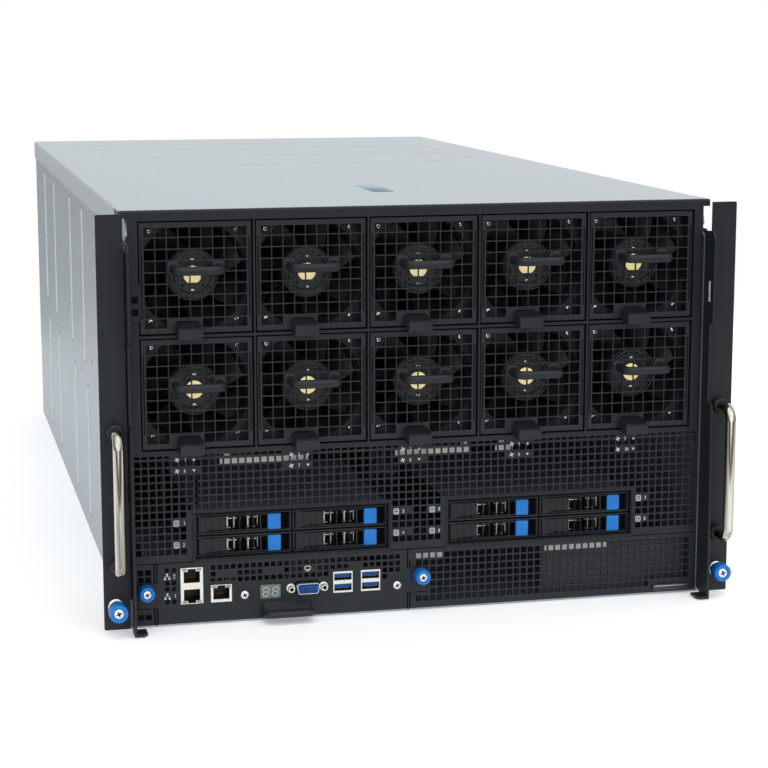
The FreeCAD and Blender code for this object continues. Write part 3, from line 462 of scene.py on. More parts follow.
# %% Wall beads and rivets
wall_x, bead_half, bead_out, bead_end = 222.2, 3.0, 1.05, 6.0
rib_places, stagger, upper_rib, lower_rib = (314, 438, 624, 748), 20.0, (148, 283), (16, 132)
rivet_places = [(514, 185), (459, 180), (634, 134), (377, 158), (283, 178), (251, 158), (350, 136)]
rivet_dome = [(1.9, 0.1), (1.9, -0.1), (1.5, -0.4), (0.8, -0.55), (0.1, -0.58)]


def pressed_bead(x, y, low, high):
    """An oval section carried up the wall; over each end its size follows a quarter sine."""
    t = np.linspace(0.03, TURN / 4, 6)
    rise, size = bead_end * (1 - np.cos(t)), np.sin(t)
    rows = zip(np.r_[low + rise, high - rise[::-1]], np.r_[size, size[::-1]])
    return loft([level(oval(bead_out * s, bead_half * s) + (x, y), h, axis=2) for h, s in rows], bead_painted_highlight)


beads = [pressed_bead(s * wall_x, y - back, *rib) for _, s in SIDES for y in rib_places
         for back, rib in ((0, upper_rib), (stagger, lower_rib))]
rivet = turned(rivet_dome, zinc, steps=16)
rivets = joined(aimed([rivet], side, (s * wall_x, y, z)) for y, z in rivet_places for side, s in SIDES)
piece("wall_rivets", "chassis", rivets + beads)
print(len(rivets), "rivets and", len(beads), "pressed beads on the walls")

# %% [markdown]
# ## Sliding lid
# The lid is a thinner zinc sheet folded down over both walls. Its bend has an inner radius of about a
# sheet's thickness, and that round edge is what draws the bright line along the side. A bevelled box
# could pass for it from above, but only a fold shows the thin edge at the back. So it is an outline
# carried along the depth, in two lengths, because the front strip has no flanges.

# %% Folded sheet
# A flatter sheet with larger crystals: a paler and more even sheen than the walls.
lid_zinc = finish("galvanised_lid_sheet", "#AEB7BD", "#BBC4CA", metallic=0.7, roughness=0.42, spread=0.04,
                  grain=9.0)
lid_low, lid_high = span("top_cover")
lid_half, lid_front, lid_back, lid_top = lid_high[0], lid_low[1], lid_high[1], lid_high[2]
lid_sheet, flange_front, bend = 1.0, 34.0, 1.8


def half_fold(drop):
    """Right half of a folded sheet: across the top, round the bend, down to the flange's foot."""
    round_bend = polar(bend - drop, np.linspace(TURN / 4, 0, 6)) + (lid_half - bend, lid_top - bend)
    return np.concatenate([round_bend, [[lid_half - drop, lid_low[2]]]])


outer, inner = half_fold(0.0), half_fold(lid_sheet)
fold = np.concatenate([outer, inner[::-1], inner * (-1, 1), outer[::-1] * (-1, 1)])
strip = rounded(2 * lid_half, lid_sheet, 0.45, 0, lid_top - lid_sheet / 2)
lid = [prism(fold, flange_front, lid_back, lid_zinc), prism(strip, lid_front, flange_front, lid_zinc)]
print("lid from y", round(lid_front, 1), "to", round(lid_back, 1), "mm")

# %% Ridges, label and flange screws
# Printed vinyl is smooth, so both fields of the label have a clear, weak shine.
label_blue = finish("printed_vinyl_blue", "#4C93BE", "#5FA3CC", roughness=0.35, grain=2.0, relief=0.002)
label_grey = finish("printed_vinyl_dark_grey", "#3A4147", "#485057", roughness=0.35, grain=2.0, relief=0.002)
bead_line = [(-90, 459), (135, 459)]
bend_lines = [[(-186, 790), (186, 790), (186, 745)], [(-183, 700), (175, 700), (184, 645)],
              [(-180, 590), (170, 590), (180, 515)]]
label_x, label_width, label_fields = -1.5, 17, ((141, 36, label_grey), (176, 34, label_blue))
flange_screws, flange_screw_z = (175, 296, 412, 571, 696), 299


def ridge(line, half, rise):
    """A low oval carried along a line on top of the lid."""
    return swept(level(line, lid_top, axis=2), oval(half, rise, 2.0, 12), (0, 0, 1), lid_zinc)


lid.append(ridge(bead_line, half=1.3, rise=0.35))
lid += [ridge(line, half=1.6, rise=0.3) for line in bend_lines]
lid += [pad((label_width, length), (label_x, y), 1, (lid_top - 0.1, lid_top + 0.2), 0.08, vinyl, axis=2)
        for y, length, vinyl in label_fields]
flange_screw = cross_head(0, 0, 0, radius=2.6, height=0.8, finish=lid_zinc)
lid += joined(aimed(flange_screw, side, (s * lid_half, y, flange_screw_z))
              for y in flange_screws for side, s in SIDES)
piece("folded_lid", "cover", lid, stands_for=["top_cover"])
print(len(bend_lines), "bend lines and", 2 * len(flange_screws), "flange screws on the lid")

# %% [markdown]
# ## Black front steel
# Frame, panels and ears are cold-rolled steel with a black powder coat. The powder flows out into a
# fine orange peel, which breaks up the highlights and leaves a soft satin black. A picture of holes
# on a flat sheet would be less work, but it has no depth when it is seen from the side. So the panels
# are punched sheets, with a small Bevel for the coat's round edge at each hole.

# %% Powder coat and the main vent sheet
# Orange peel of 0.6 mm is drawn at 1.2 mm so that it shows.
powder = finish("powder_coated_steel_black", "#171B1E", "#1E2327", roughness=0.5, spread=0.06, grain=1.2,
                relief=0.02, Specular_IOR_Level=0.28)
coat("front_frame", powder)
coat("rack_ears", powder)

edge, _, vent_top = span("vent_panels")[1]
sheet, zone_top, seam, pitch, hole = 1.5, 48.0, 0.6, 5.5, 4.2
field_side, field_foot, field_head, slit_low, slit_high = 0.6, 4.8, 4.5, 126.3, 128.1
bay_centres = [(middle(f"drive_{n}_carrier")[0] + middle(f"drive_{n + 2}_carrier")[0]) / 2 for n in (1, 5)]
cage_low, cage_high = span("drive_cage")
cage_sheet, rim, shade_gap = 0.6, 3.0, 1.6
bay_half = bay_centres[0] - cage_low[0] - cage_sheet
bay_low, bay_high = cage_low[2] + cage_sheet, cage_high[2] - cage_sheet + shade_gap
bays = [(c - bay_half, c + bay_half, bay_low, bay_high) for c in bay_centres]
rims = [(x0 - rim, x1 + rim, z0 - rim, z1 + rim) for x0, x1, z0, z1 in bays]
fan_columns = [middle(f"fan_{n:02d}_carrier")[0] for n in range(1, 6)]
upper_mark_z, lower_mark_z = 124.9, 116.6
disk_columns, disk_rows = (-186.6, -21.2, 6.6, 170.6), (77.6, 61.2)
fan_marks = [(x - 18.5, x - 2.0, lower_mark_z - 0.8, lower_mark_z + 1.2) for x in fan_columns]
drive_marks = [(x - 2.5, x + 8.5, z - 1, z + 1) for x in disk_columns for z in disk_rows]


def panel(outer, *holes):
    """A punched sheet of the front, with its face in the front plane."""
    return punched(outer, np.concatenate(holes), 0, sheet, powder)


field_half = edge - field_side
vent_field = (-field_half, field_half, zone_top + field_foot, vent_top - field_head)
vents = hole_field(*vent_field, pitch, hole, rims + fan_marks + drive_marks)
one_row = hole_field(-field_half, field_half, 0, hole, pitch, hole)
slits = [(x0, x1, slit_low, slit_high) for x0, x1, _, _ in one_row
         if not any(x1 > a and x0 < b for a, b, _, _ in fan_marks)]
main = panel((-edge, edge, zone_top + seam / 2, vent_top), vents, slits, bays)
print(len(vents), "vent holes and", len(slits), "slits in the main sheet")

# %% Lower cover, filler and tag sleeve
tray_left, tray_right, tray_gap, foot_gap = -201.0, -13.0, 3.0, 1.8
tab_left, tab_right, tab_low, tab_high = -215.5, 2.6, 14.6, 33.0
cover_left, cover_top, filler_right = tray_right + tray_gap, zone_top - seam / 2, tray_left - tray_gap
tag_low, tag_high = span("asset_tag")
tag_lip, sleeve_wall, sleeve_back = 0.7, 1.0, 56.5
tag_slot = (tag_low[0] + tag_lip, tag_high[0] - tag_lip, tag_low[2] + tag_lip, tag_high[2] - tag_lip)
# The holes keep clear of the tag's slot and of the tab by which the tray is locked.
tag_guard = (tag_slot[0] - 4, tag_slot[1] + 4, tag_slot[2] - 3, tag_slot[3] + 3)
tab_gap = (cover_left, tab_right + seam, tab_low - seam, tab_high + seam)
tab_guard = (cover_left, tab_right + 1.6, tab_low - 1.1, tab_high + 1.1)
filler_gap = (tab_left - seam, filler_right, tab_low - seam, tab_high + seam)
cover_field = (cover_left + 3.8, edge - 4.4, 5.6, cover_top - 2.0)
filler_fields = [(1.4 - edge, filler_right - 1.4, *height) for height in ((33.9, 44.0), (3.6, 12.6))]
lower_holes = hole_field(*cover_field, pitch, hole, [tag_guard, tab_guard])
filler_holes = [hole_field(*field, pitch, hole) for field in filler_fields]
lower = panel((cover_left, edge, foot_gap, cover_top), lower_holes, [tag_slot, tab_gap])
filler = panel((-edge, filler_right, foot_gap, cover_top), *filler_holes, [filler_gap])
sleeve_mid = (tag_slot[0] + tag_slot[1]) / 2, (tag_slot[2] + tag_slot[3]) / 2
sleeve_size = np.array([tag_slot[1] - tag_slot[0], tag_slot[3] - tag_slot[2]])
sleeve_out, sleeve_in = (rounded(*(sleeve_size + 2 * w), 0.3, *sleeve_mid, steps=2) for w in (sleeve_wall, 0))
sleeve = loft([level(sleeve_out, sheet), level(sleeve_out, sleeve_back), level(sleeve_in, sleeve_back),
               level(sleeve_in, sheet)], powder, ring=True)
piece("vent_sheets", "chassis", [main, lower, filler, sleeve], ["vent_panels"], bevel=0.18,
      segments=1)
print(len(lower_holes), "holes in the lower cover")

# %% Bay rims and post bracket
rim_section = [(0, 0.1), (0, -0.4), (0.4, -0.8), (1.3, -0.8), (2.0, 0.2), (2.1, 3.4), (1.7, 3.4), (1.3, 0.1)]
rim_lap, bracket_x, bracket_hole, bracket_screw = 4.4, (-216.2, -211.4), 5.0, (-213.8, 250)
trim = []
for x0, x1, z0, z1 in bays:
    mouth = rounded(x1 - x0 + rim_lap, z1 - z0 + rim_lap, 1.2, (x0 + x1) / 2, (z0 + z1) / 2)
    trim.append(rim_ring(mouth, rim_section, powder))
    # The dark band under the top of each rim is painted shadow.
    trim.append(bar(x0, x1, 0.9, 1.4, z1 - shade_gap + 0.1, z1 + 0.2, painted_shade_black))
# The bracket on the left post is a punched tab with a screw; the dark plate behind its holes is painted
# shade.
bracket_holes = [(*bracket_x, z, z + bracket_hole) for z in (240.6, 231.6)]
trim.append(punched((-217.6, -210.0, 227, 254), bracket_holes, -1.2, 0.1, powder))
trim.append(turned([(2.2, -1.0), (2.2, -1.35), (1.2, -1.35), (1.1, -0.9)], powder, *bracket_screw, steps=20))
trim.append(bar(-216.6, -211.0, -0.3, -0.05, 230, 247, painted_shade_black))
print("rims round", len(bays), "drive bays and one bracket")

# %% Edge trims and what shows through the holes
# A grey air guide stands close behind the right half of the lower cover.
baffle = finish("powder_coated_steel_grey", "#3A3F42", "#474C50", roughness=0.55, grain=1.2, relief=0.01)
# Fresh bright zinc throws back most of the light that comes in through the holes.
rail_zinc = finish("bright_zinc_plated_rail", "#DADBD8", "#EAEBE8", metallic=0.1, roughness=0.42, grain=5.0)
rail_face, lock_depth, lock_height = 219.1, (-14.0, -11.0), (230.2, 245.8)
post_edge, post_mid, post_length = 218.0, 141, 278
upper_strips, lower_strips = ((-153, -87), (-21, 37), (57, 71)), ((97, 147), (-9.5, 17.5))
strip_depth, upper_height, lower_height = (5, 6.2), (118.8, 124.6), (38.6, 45.5)
hook, hook_height, seam_bars = 5, (124.0, 130.4), ((0.8, 14.0), (33.6, 47.2))
# A zinc lock bar behind each forward rail shows through the rail's slot.
for _, s in SIDES:
    lock_bar = sorted((s * (rail_face + 0.2), s * (rail_face + 0.8)))
    trim.append(pad((0.9, post_length), (s * post_edge, post_mid), 0.3, (-1.4, -0.4), 0.25, powder, steps=3))
    trim.append(bar(*lock_bar, *lock_depth, *lock_height, rail_zinc))
for x in (tray_left - tray_gap / 2, tray_right + tray_gap / 2):
    trim += [bar(x - 0.5, x + 0.5, 0.8, 12, *height, powder) for height in seam_bars]
for x0, x1 in upper_strips:
    trim.append(bar(x0, x1, *strip_depth, *upper_height, rail_zinc))
    trim += [bar(x, x + hook, *strip_depth, *hook_height, rail_zinc) for x in (x0 + 2, x1 - 2 - hook)]
trim += [bar(x0, x1, *strip_depth, *lower_height, rail_zinc) for x0, x1 in lower_strips]
# A zinc roof lies on each drive cage, and the grey air guide stands at the right.
trim += [bar(x0, x1, 12.0, 160.0, cage_high[2] + 0.05, cage_high[2] + 0.5, zinc) for x0, x1, _, _ in bays]
trim.append(bar(98, 214, 14.0, 15.0, 3, 40, baffle))
piece("front_trim", "chassis", trim)
print(len(trim), "trims on and behind the front")

# %% [markdown]
# ## Printed marks
# The panel carries small white symbols: a fan with an arrow for each module, a disk with a number for
# each drive, and a network tree beside the jacks. They are screen printed ink, so they are flat
# ribbons a tenth of a millimetre thick. Text objects could give the numbers, but short runs of points
# are lighter and need no font.

# %% Numbers
# Ink lies thin on the powder coat: a flat, slightly grey white.
ink = finish("screen_print_ink_white", "#B9BEC2", "#C9CED1", roughness=0.5, spread=0.04, grain=1.0,
             relief=0.001)
DIGITS = {1: [(0.1, 0.7), (0.5, 1), (0.5, -1)],
          2: [(-0.5, 0.6), (0, 1), (0.5, 0.6), (-0.5, -1), (0.5, -1)],
          3: [(-0.5, 1), (0.5, 1), (0, 0.2), (0.5, -0.4), (0, -1), (-0.5, -0.7)],
          4: [(0.3, -1), (0.3, 1), (-0.6, -0.4), (0.6, -0.4)],
          5: [(0.5, 1), (-0.5, 1), (-0.5, 0.2), (0.3, 0.2), (0.5, -0.4), (0, -1), (-0.5, -0.8)],
          6: [(0.4, 1), (-0.3, 0.4), (-0.5, -0.5), (0, -1), (0.5, -0.5), (0, 0), (-0.5, -0.4)],
          7: [(-0.5, 1), (0.5, 1), (-0.1, -1)],
          8: [(0, 0.1), (-0.4, 0.55), (0, 1), (0.4, 0.55), (0, 0.1), (-0.5, -0.5), (0, -1), (0.5, -0.5),
              (0, 0.1)],
          9: [(0.5, 0.4), (0, 0), (-0.5, 0.5), (0, 1), (0.5, 0.5), (0.3, -0.4), (-0.4, -1)],
          0: [(0, 1), (-0.5, 0.5), (-0.5, -0.5), (0, -1), (0.5, -0.5), (0.5, 0.5), (0, 1)]}


def number(n, x, z, size):
    """Each digit is a ribbon through its corner points, and the next one stands 1.7 sizes on."""
    return [stroke(DIGITS[int(d)], x + 1.7 * size * k, z, 0.42, ink, size) for k, d in enumerate(str(n))]


print(len(DIGITS), "digits ready")


# %% Symbols
def fan_symbol(x, z, up):
    """Four petals round a hub, then a solid arrowhead."""
    petal, hub, arrow_x = oval(0.85, 0.48, 2.0, 10), 1.0, 12.4
    turns = np.arange(4) * TURN / 4 + 0.4
    petals = [prism(spun(petal, a) + (polar(hub, a) + (x, z)), -INK, 0.0, ink) for a in turns]
    arrow = np.array([(-1.1, -0.9), (1.1, -0.9), (0, 1.0)]) * (1, up) + (x + arrow_x, z)
    return petals + [prism(arrow, -INK, 0.0, ink)]


def printed_frame(outline):
    """A ring of ink between an outline and the same outline half a millimetre in."""
    return rim_ring(outline, [(0, -INK), (0.5, -INK), (0.5, 0.0), (0, 0.0)], ink)


def disk_symbol(x, z):
    """A rounded frame with two short lines in it."""
    lines = [stroke([(-1, v), (1, v)], x, z, 0.5, ink) for v in (-0.8, 0.6)]
    return [printed_frame(rounded(4.0, 4.4, 0.8, x, z, 3))] + lines


marks, mark_size, symbol_in, number_in, disk_number = [], 1.2, 16.2, 10.5, 5.4
for n, x in enumerate(fan_columns, 1):
    marks += fan_symbol(x - symbol_in, upper_mark_z, 1) + fan_symbol(x - symbol_in, lower_mark_z, -1)
    marks += number(n, x - number_in, upper_mark_z, mark_size)
    marks += number(n + len(fan_columns), x - number_in, lower_mark_z, mark_size)
for n, (x, z) in enumerate(((x, z) for x in disk_columns for z in disk_rows), 1):
    marks += disk_symbol(x, z) + number(n, x + disk_number, z, mark_size)
piece("front_marks", "chassis", marks)
print(len(marks), "printed shapes on the vent sheet")

# %% [markdown]
# ## Fan modules
# Each module is one black moulding: a square-hole grille on a shallow skirt, with the fan's housing
# screwed behind it and a thick pull handle in front. Cut out of one block, it would need many
# Booleans. Built up, the grille is a punched sheet with a Bevel, the housing is a loft from a square
# to a round bell mouth, and the handle is an oval swept round a bail.

# %% Grille
# Moulded polycarbonate blend: fine spark texture, so a dull black with a broad, weak highlight.
moulded = finish("moulded_polycarbonate_black", "#191C1F", "#22262A", roughness=0.46, spread=0.06, grain=0.9,
                 relief=0.012, Specular_IOR_Level=0.32)
fan_low, fan_high = span("fan_01_carrier")
half_x, half_z = (fan_high - fan_low)[[0, 2]] / 2
fan_face, grille_back, skirt_back, fan_back, gap = 1.5, 3.1, 15.5, fan_high[1], 0.8
grille_half, grille_high, grille_pitch, grille_hole = 37.2, 36.2, 8.33, 7.4
latch_notch, latch_guard = (-13.9, 0.9, -39.1, -31.5), (-15.0, 2.0, -half_z, -30.4)
slit_half, slit_in, slit_end = 0.45, 2.25, 12
grille_field = (-grille_half, grille_half, -grille_half, grille_half)
grille_holes = hole_field(*grille_field, grille_pitch, grille_hole, [latch_guard])
grille_holes[:, 2:] = grille_holes[:, 2:].clip(-grille_high, grille_high)
side_slits = [(x - slit_half, x + slit_half, slit_end - half_z, half_z - slit_end)
              for x in (slit_in - half_x, half_x - slit_in)]
grille = [punched((gap - half_x, half_x - gap, gap - half_z, half_z - gap),
                  np.concatenate([grille_holes, side_slits, [latch_notch]]), fan_face, grille_back, moulded)]
print(len(grille_holes), "square holes in each grille")


# %% Skirt, housing and screws
def square_at(half_u, half_v, t):
    """At each angle the edge lies at the smaller of half_u / |cos| and half_v / |sin|."""
    c, s = abs(np.cos(t)), abs(np.sin(t))
    return polar(np.minimum(half_u / np.maximum(c, 1e-9), half_v / np.maximum(s, 1e-9)), t)


bore, around = half_z - 2.4, 64
wall = square_at(half_x, half_z, np.arange(around) * TURN / around)
bell = [(0, fan_back), (0, 24), (0.5, 19), (1.9, 16), (2.1, skirt_back)]
skirt_line = rounded(2 * (half_x - gap), 2 * (half_z - gap), 0.6, steps=3)
skirt_front, skirt_wall = grille_back - 0.2, 1.5
fan_shells = [rim_ring(skirt_line, [(0, skirt_front), (0, skirt_back), (skirt_wall, skirt_back),
                                    (skirt_wall, skirt_front)], moulded)]
fan_shells.append(loft([level(wall, skirt_back), level(wall, fan_back)]
                       + [level(circle(bore + out, steps=around), y) for out, y in bell], moulded, ring=True))
stator_front, stator_back, strut, strut_end = 60, 66, 2, bore + 1
fan_shells.append(turned([(19, stator_back), (19, 59), (18, 58), (3, 58), (2.2, stator_front),
                          (2.2, stator_back)], moulded, steps=40))
fan_shells += [bar(-strut_end, strut_end, stator_front, stator_back, -strut, strut, moulded),
               bar(-strut, strut, stator_front, stator_back, -strut_end, strut_end, moulded)]
screw_x, screw_z = half_x - 9.7, half_z - 8.0
fan_shells += joined(cross_head(sx * screw_x, sz * screw_z, skirt_back, radius=2.1, height=1.8,
                                finish=screw_zinc) for sx in (-1, 1) for sz in (-1, 1))
print(len(fan_shells), "shells in each housing")

# %% Pull handle
grip_half, grip_rise, grip_front = 16.4, 7.0, fan_low[1] - 0.8
grip = bail(grip_half, fan_face + 0.3 - grip_front, 5.0)
grip_path = level(grip + (0, grip_front), grip_rise, axis=2)
fan_shells.append(swept(grip_path, oval(2.7, 3.2, 2.8), (0, 0, 1), moulded))
fan_shells += [pad((8.6, 10.4), (s * grip_half, grip_rise), 2.2, (0.3, 1.7), 0.6, moulded, steps=5)
               for _, s in SIDES]
print("handle reaches", round(fan_face - fan_low[1], 1), "mm in front of the grille")

# %% [markdown]
# ## Rotors and latches
# The rotor is a deep hub with seven curved blades, glass-filled and glossier than the carrier. A bent
# plane with a Solidify would give blades of one thickness. Here a blade is a grid over span and
# chord: angle and depth grow along the chord, radius along the span, and the thickness swells in the
# middle. The latch is a finger tab whose sloping top is ribbed for grip.

# %% Hub and blades
# Glass-filled polyester moulds to a smooth skin, so the blades have a thin, sharp shine.
rotor_black = finish("glass_filled_polyester_black", "#141618", "#1C1F21", roughness=0.34, spread=0.06,
                     grain=2.0, relief=0.006, Specular_IOR_Level=0.35)
# The hub's face is moulded smoother than the blades, so it looks greyer.
hub_grey = finish("glass_filled_polyester_polished", "#202326", "#292D30", roughness=0.3, grain=2.0)
hub_profile = [(19.5, 57), (19.5, 19.2), (19.2, 18.4), (18.6, 18.0), (18.0, 18.3), (17.8, 20.4),
               (17.2, 20.4), (17.0, 18.5), (16.4, 18.3), (15.9, 18.6), (15.7, 20.8), (14.2, 20.8),
               (14.0, 18.6), (13.4, 18.3), (12.9, 18.8), (8.0, 18.8), (7.8, 18.3), (6.8, 18.3),
               (6.5, 18.6), (0.2, 18.6)]
blades, blade_root, blade_front, blade_depth, blade_sweep, tip_gap = 7, 19.0, 22, 32, 0.9, 1.0
root_thick, thinning, camber, lean, twist = 1.7, 0.7, 0.18, 0.22, 1.5


def blade(turn, finish):
    """Depth and angle grow along the chord; thickness follows the root of a half sine, thinner outwards."""
    s = np.linspace(0, 1, 6)[:, None]
    there, back = np.linspace(0, 1, 10), np.linspace(1, 0, 10)[1:-1]
    c, side = np.r_[there, back], np.r_[np.ones(10), -np.ones(8)]
    r = blade_root + s * (bore - tip_gap - blade_root)
    thick = (root_thick - thinning * s) * np.sqrt(np.sin(np.pi * c).clip(0)) * side / 2
    angle = turn + blade_sweep * c + camber * np.sin(np.pi * c) + lean * s + thick / r
    y = np.broadcast_to(blade_front + blade_depth * c + twist * s * (1 - 2 * c), angle.shape)
    return loft(np.stack([r * np.cos(angle), y, r * np.sin(angle)], -1), finish)


rotor = [turned(hub_profile, hub_grey, steps=48), turned([(2, 66), (2, 56)], rotor_black, steps=12)]
rotor += [blade(k * TURN / blades, rotor_black) for k in range(blades)]
print(blades, "blades on a hub of radius", hub_profile[0][0], "mm")

# %% Hub face
# The printed disc has a weak glow: painted light that keeps it bright in the shade behind the grille.
disc_painted_glow = finish("printed_disc_painted_glow", "#FFF0B8", "#FFF7D2", roughness=0.55, grain=1.5,
                     relief=0.003, Emission_Color=linear("#FFE48E"), Emission_Strength=0.3)
# Nickel over stamped steel is a warm, bright mirror, a little blurred.
nickel = finish("nickel_plated_spring_steel", "#D2D1CD", "#E6E5E1", metallic=1.0, roughness=0.25, spread=0.06,
                grain=2.0, relief=0.003)
hub_face, hub_ribs, rib_angle, clip_out, dot_out = 18.3, 12, 0.2, 11.2, 10.6
dot_turns = np.radians([-45, -135, 0, 180])


def arc_plate(r0, r1, a0, a1, y0, y1, finish):
    """A plate between two radii and two angles."""
    t = np.linspace(a0, a1, 6)
    return prism(np.concatenate([polar(r0, t), polar(r1, t[::-1])]), y0, y1, finish)


rotor.append(turned([(6.6, 18.6), (6.6, hub_face), (6.4, 18.2), (0.2, 18.2)], disc_painted_glow, steps=32))
rotor += [arc_plate(14.1, 15.8, a, a + rib_angle, 18.7, 20.9, hub_grey)
          for a in np.arange(hub_ribs) * TURN / hub_ribs]
rotor += [softened(oval(1.6, 0.8, 2.2, 16) + (0, z), hub_face, 18.9, 0.25, nickel)
          for z in (-clip_out, clip_out)]
# Four dark dots on the hub are painted shade for its small holes.
rotor += [turned([(1.15, 18.9), (1.15, 18.7), (0.1, 18.7)], painted_shade_black, *polar(dot_out, a), steps=12)
          for a in dot_turns]
print(len(rotor), "shells in each rotor")

# %% Ribbed latch
latch_low, latch_high = span("fan_01_latch") - np.insert(middle("fan_01_carrier"), 1, 0)
(tab_x0, tab_tip, tab_z), tab_x1, tab_back_y = latch_low, latch_high[0], -0.5
tab_front_z, tab_back_z = tab_z + 7.0, tab_z + 10.0
rib_count, rib_half, rib_in = 9, 0.45, 1.2
tab_line = [(tab_tip, tab_z), (tab_back_y, tab_z), (tab_back_y, tab_back_z), (tab_tip, tab_front_z)]
rib_line = [(tab_tip + 1.0, tab_front_z - 0.2), (tab_back_y - 0.2, tab_back_z - 0.3),
            (tab_back_y - 0.4, tab_back_z + 0.7), (tab_tip + 1.6, tab_front_z + 0.9)]
latch = [softened(tab_line, tab_x0, tab_x1, 0.7, moulded, axis=0)]
latch += [prism(rib_line, x - rib_half, x + rib_half, moulded, axis=0)
          for x in np.linspace(tab_x0 + rib_in, tab_x1 - rib_in, rib_count)]
# A stem runs back through the grille's notch to a wider foot behind it.
latch += [bar(-13.5, 0.5, -0.6, 3.6, -38.7, -35.3, moulded), bar(-15.5, 2.5, 3.5, 5.5, -38.7, -33.3, moulded)]
print(rib_count, "ribs on each latch")

# %% Place the fan modules
for n in range(1, 11):
    name = f"fan_{n:02d}"
    x, z = middle(f"{name}_carrier")
    piece(f"{name}_grille", name, shifted(grille, x, z), bevel=0.22)
    piece(f"{name}_module", name, shifted(fan_shells, x, z), [f"{name}_carrier"])
    piece(f"{name}_wheel", f"{name}_rotor", shifted(rotor, x, z), [f"{name}_rotor"])
    piece(f"{name}_tab", f"{name}_latch", shifted(latch, x, z), [f"{name}_latch"])
print("ten fan modules placed from their CAD boxes")

# %% [markdown]
# ## Drives
# A drive sits in a tray with a thin bezel. The slotted lever hinges at the left and ends in a blue
# release block; bright spring metal shows through its slots. Dark paint could hint at the slots, but
# the lever swings out and shows its thickness. So its plate is punched, and the raised pads beside
# the hinge are softened prisms, so that the grooves between them are real.

# %% Carrier and drive body
# Stamped stainless has a dull silver shine that is a little uneven. It is painted darker, as painted shade
# for springs that sit deep behind the slots.
spring_painted_shade = finish("stainless_spring_painted_shade", "#ABAAA7", "#C8C7C3", metallic=1.0, roughness=0.34, spread=0.06,
                grain=2.0, relief=0.003)
# Cast aluminium is grey and softly matt.
ssd_case = finish("cast_aluminium_drive_case", "#8C9196", "#9BA0A5", metallic=1.0, roughness=0.42, grain=1.2,
                  relief=0.006)
drive_low, drive_high = span("drive_1_carrier")
wide, tall = (drive_high - drive_low)[[0, 2]] / 2
wall_in, lever_pin, bezel_back, tray_back, tray_sheet = wide - 0.975, (-32.1, 6.4), 12, 150, 1
bezel_line = rounded(2 * wide, 2 * tall, 0.7, steps=3)
bezel_section = [(0, bezel_back), (0, 4.4), (0.25, 4.0), (0.95, 4.0), (1.2, 4.3), (1.2, bezel_back)]
windows = [(x0, x1, -4.0, 4.0) for x0, x1 in ((-2.4, 2.4), (11.0, 13.2))]
low_z, high_z = tray_sheet - tall, tall - tray_sheet
# The carrier's back wall, seen through the bezel's windows, is painted shade.
carrier = [rim_ring(bezel_line, bezel_section, moulded),
           punched((1.1 - wide, wide - 1.1, 1.1 - tall, tall - 1.1), windows, 10.5, bezel_back, painted_shade_black),
           bar(-wide, wide, bezel_back, tray_back, -tall, low_z, zinc),
           bar(-wide, -wall_in, bezel_back, tray_back, low_z, high_z, zinc),
           bar(wall_in, wide, bezel_back, tray_back, low_z, high_z, zinc),
           prism(circle(1.2, *lever_pin, 12), 1.2 - tall, tall - 1.2, screw_zinc, axis=2),
           pad((69.8, 12.6), (0, 7.35 - tall), 0.8, (45.6, 146), 0.8, ssd_case),
           pad((60, 82), (0, 95), 2, (13.5 - tall, 13.8 - tall), 0.1, label_grey, axis=2)]
springs = [(-11.9, -10.6, -4.4, 5.0), (-6.7, -5.8, -4.4, 5.0), (-11.9, -4.0, 2.3, 3.2),
           (-2.4, -0.8, 2.3, 3.0), (3.6, 4.8, -4.2, 5.2), (2.4, 5.9, 2.4, 3.4), (7.6, 11.0, 2.5, 3.3),
           (11.0, 11.6, -4.0, 4.6), (-11.6, -8.6, -4.8, -4.0), (2.6, 5.6, -4.8, -4.0), (7.6, 9.6, -4.8, -4.0)]
carrier += [softened(rectangle(*strip), 8.6, 10.6, 0.2, spring_painted_shade) for strip in springs]
print(len(carrier), "shells in each carrier")

# %% Lever and release block
# Acetal is slippery and dyed through: a deep, even blue with a soft shine.
blue = finish("moulded_acetal_blue", "#0464AF", "#0A72C3", roughness=0.38, grain=1.2, relief=0.006,
              Specular_IOR_Level=0.35)
# Nylon with glass in it, moulded against polished steel: a deep black with a small, clear shine.
lever_black = finish("moulded_glass_nylon_black", "#0E1012", "#15181B", roughness=0.42, grain=0.9,
                     relief=0.01, Specular_IOR_Level=0.3)
lever_low, lever_high = span("drive_1_lever")
grip_tall = (lever_high - lever_low)[2] / 2
pad_face, pad_back, pad_foot, mark_face = 3.5, 4.2, -4.6, 3.44
pads, dots, dot_z = [(-27.6, -24.0), (-22.6, -18.6), (-17.2, -13.8)], (-22.4, -17.4), -5.2
slot_rows = [(x - 2.2, x + 2.2) for x in (np.arange(5) - 2) * 5.1] + [(13.4, 17.7)]
slots = [(x0, x1, 0.9 - grip_tall, grip_tall - 0.9) for x0, x1 in slot_rows]
lever_plate = [punched((lever_pin[0], 18.2, -grip_tall, grip_tall), slots, 4.0, 6.2, lever_black)]
lever = [softened(rectangle(x0, x1, pad_foot, grip_tall - 0.3), pad_face, pad_back, 0.25, lever_black)
         for x0, x1 in pads]
foot_line = [(-28.6, -5.85), (-13.4, -5.85), (-13.4, -4.8), (-26.6, -4.8)]
lever.append(softened(foot_line, pad_face, pad_back, 0.2, lever_black))
# The two dots and the line under the pads are painted shade for small hollows in the lever.
lever += [turned([(0.8, 3.6), (0.8, mark_face), (0.1, mark_face)], painted_shade_black, x, dot_z, steps=12)
          for x in dots]
lever.append(stroke([(-28.0, -5.9), (-25.6, -4.4), (-13.6, -4.4)], 0, 0, 0.5, painted_shade_black, y=mark_face))
lever.append(prism(circle(2.4, *lever_pin, 20), -grip_tall, grip_tall, lever_black, axis=2))
lever.append(pad((9.8, 2 * grip_tall), (23.2, 0), 0.8, (3.4, 8.0), 0.6, blue))
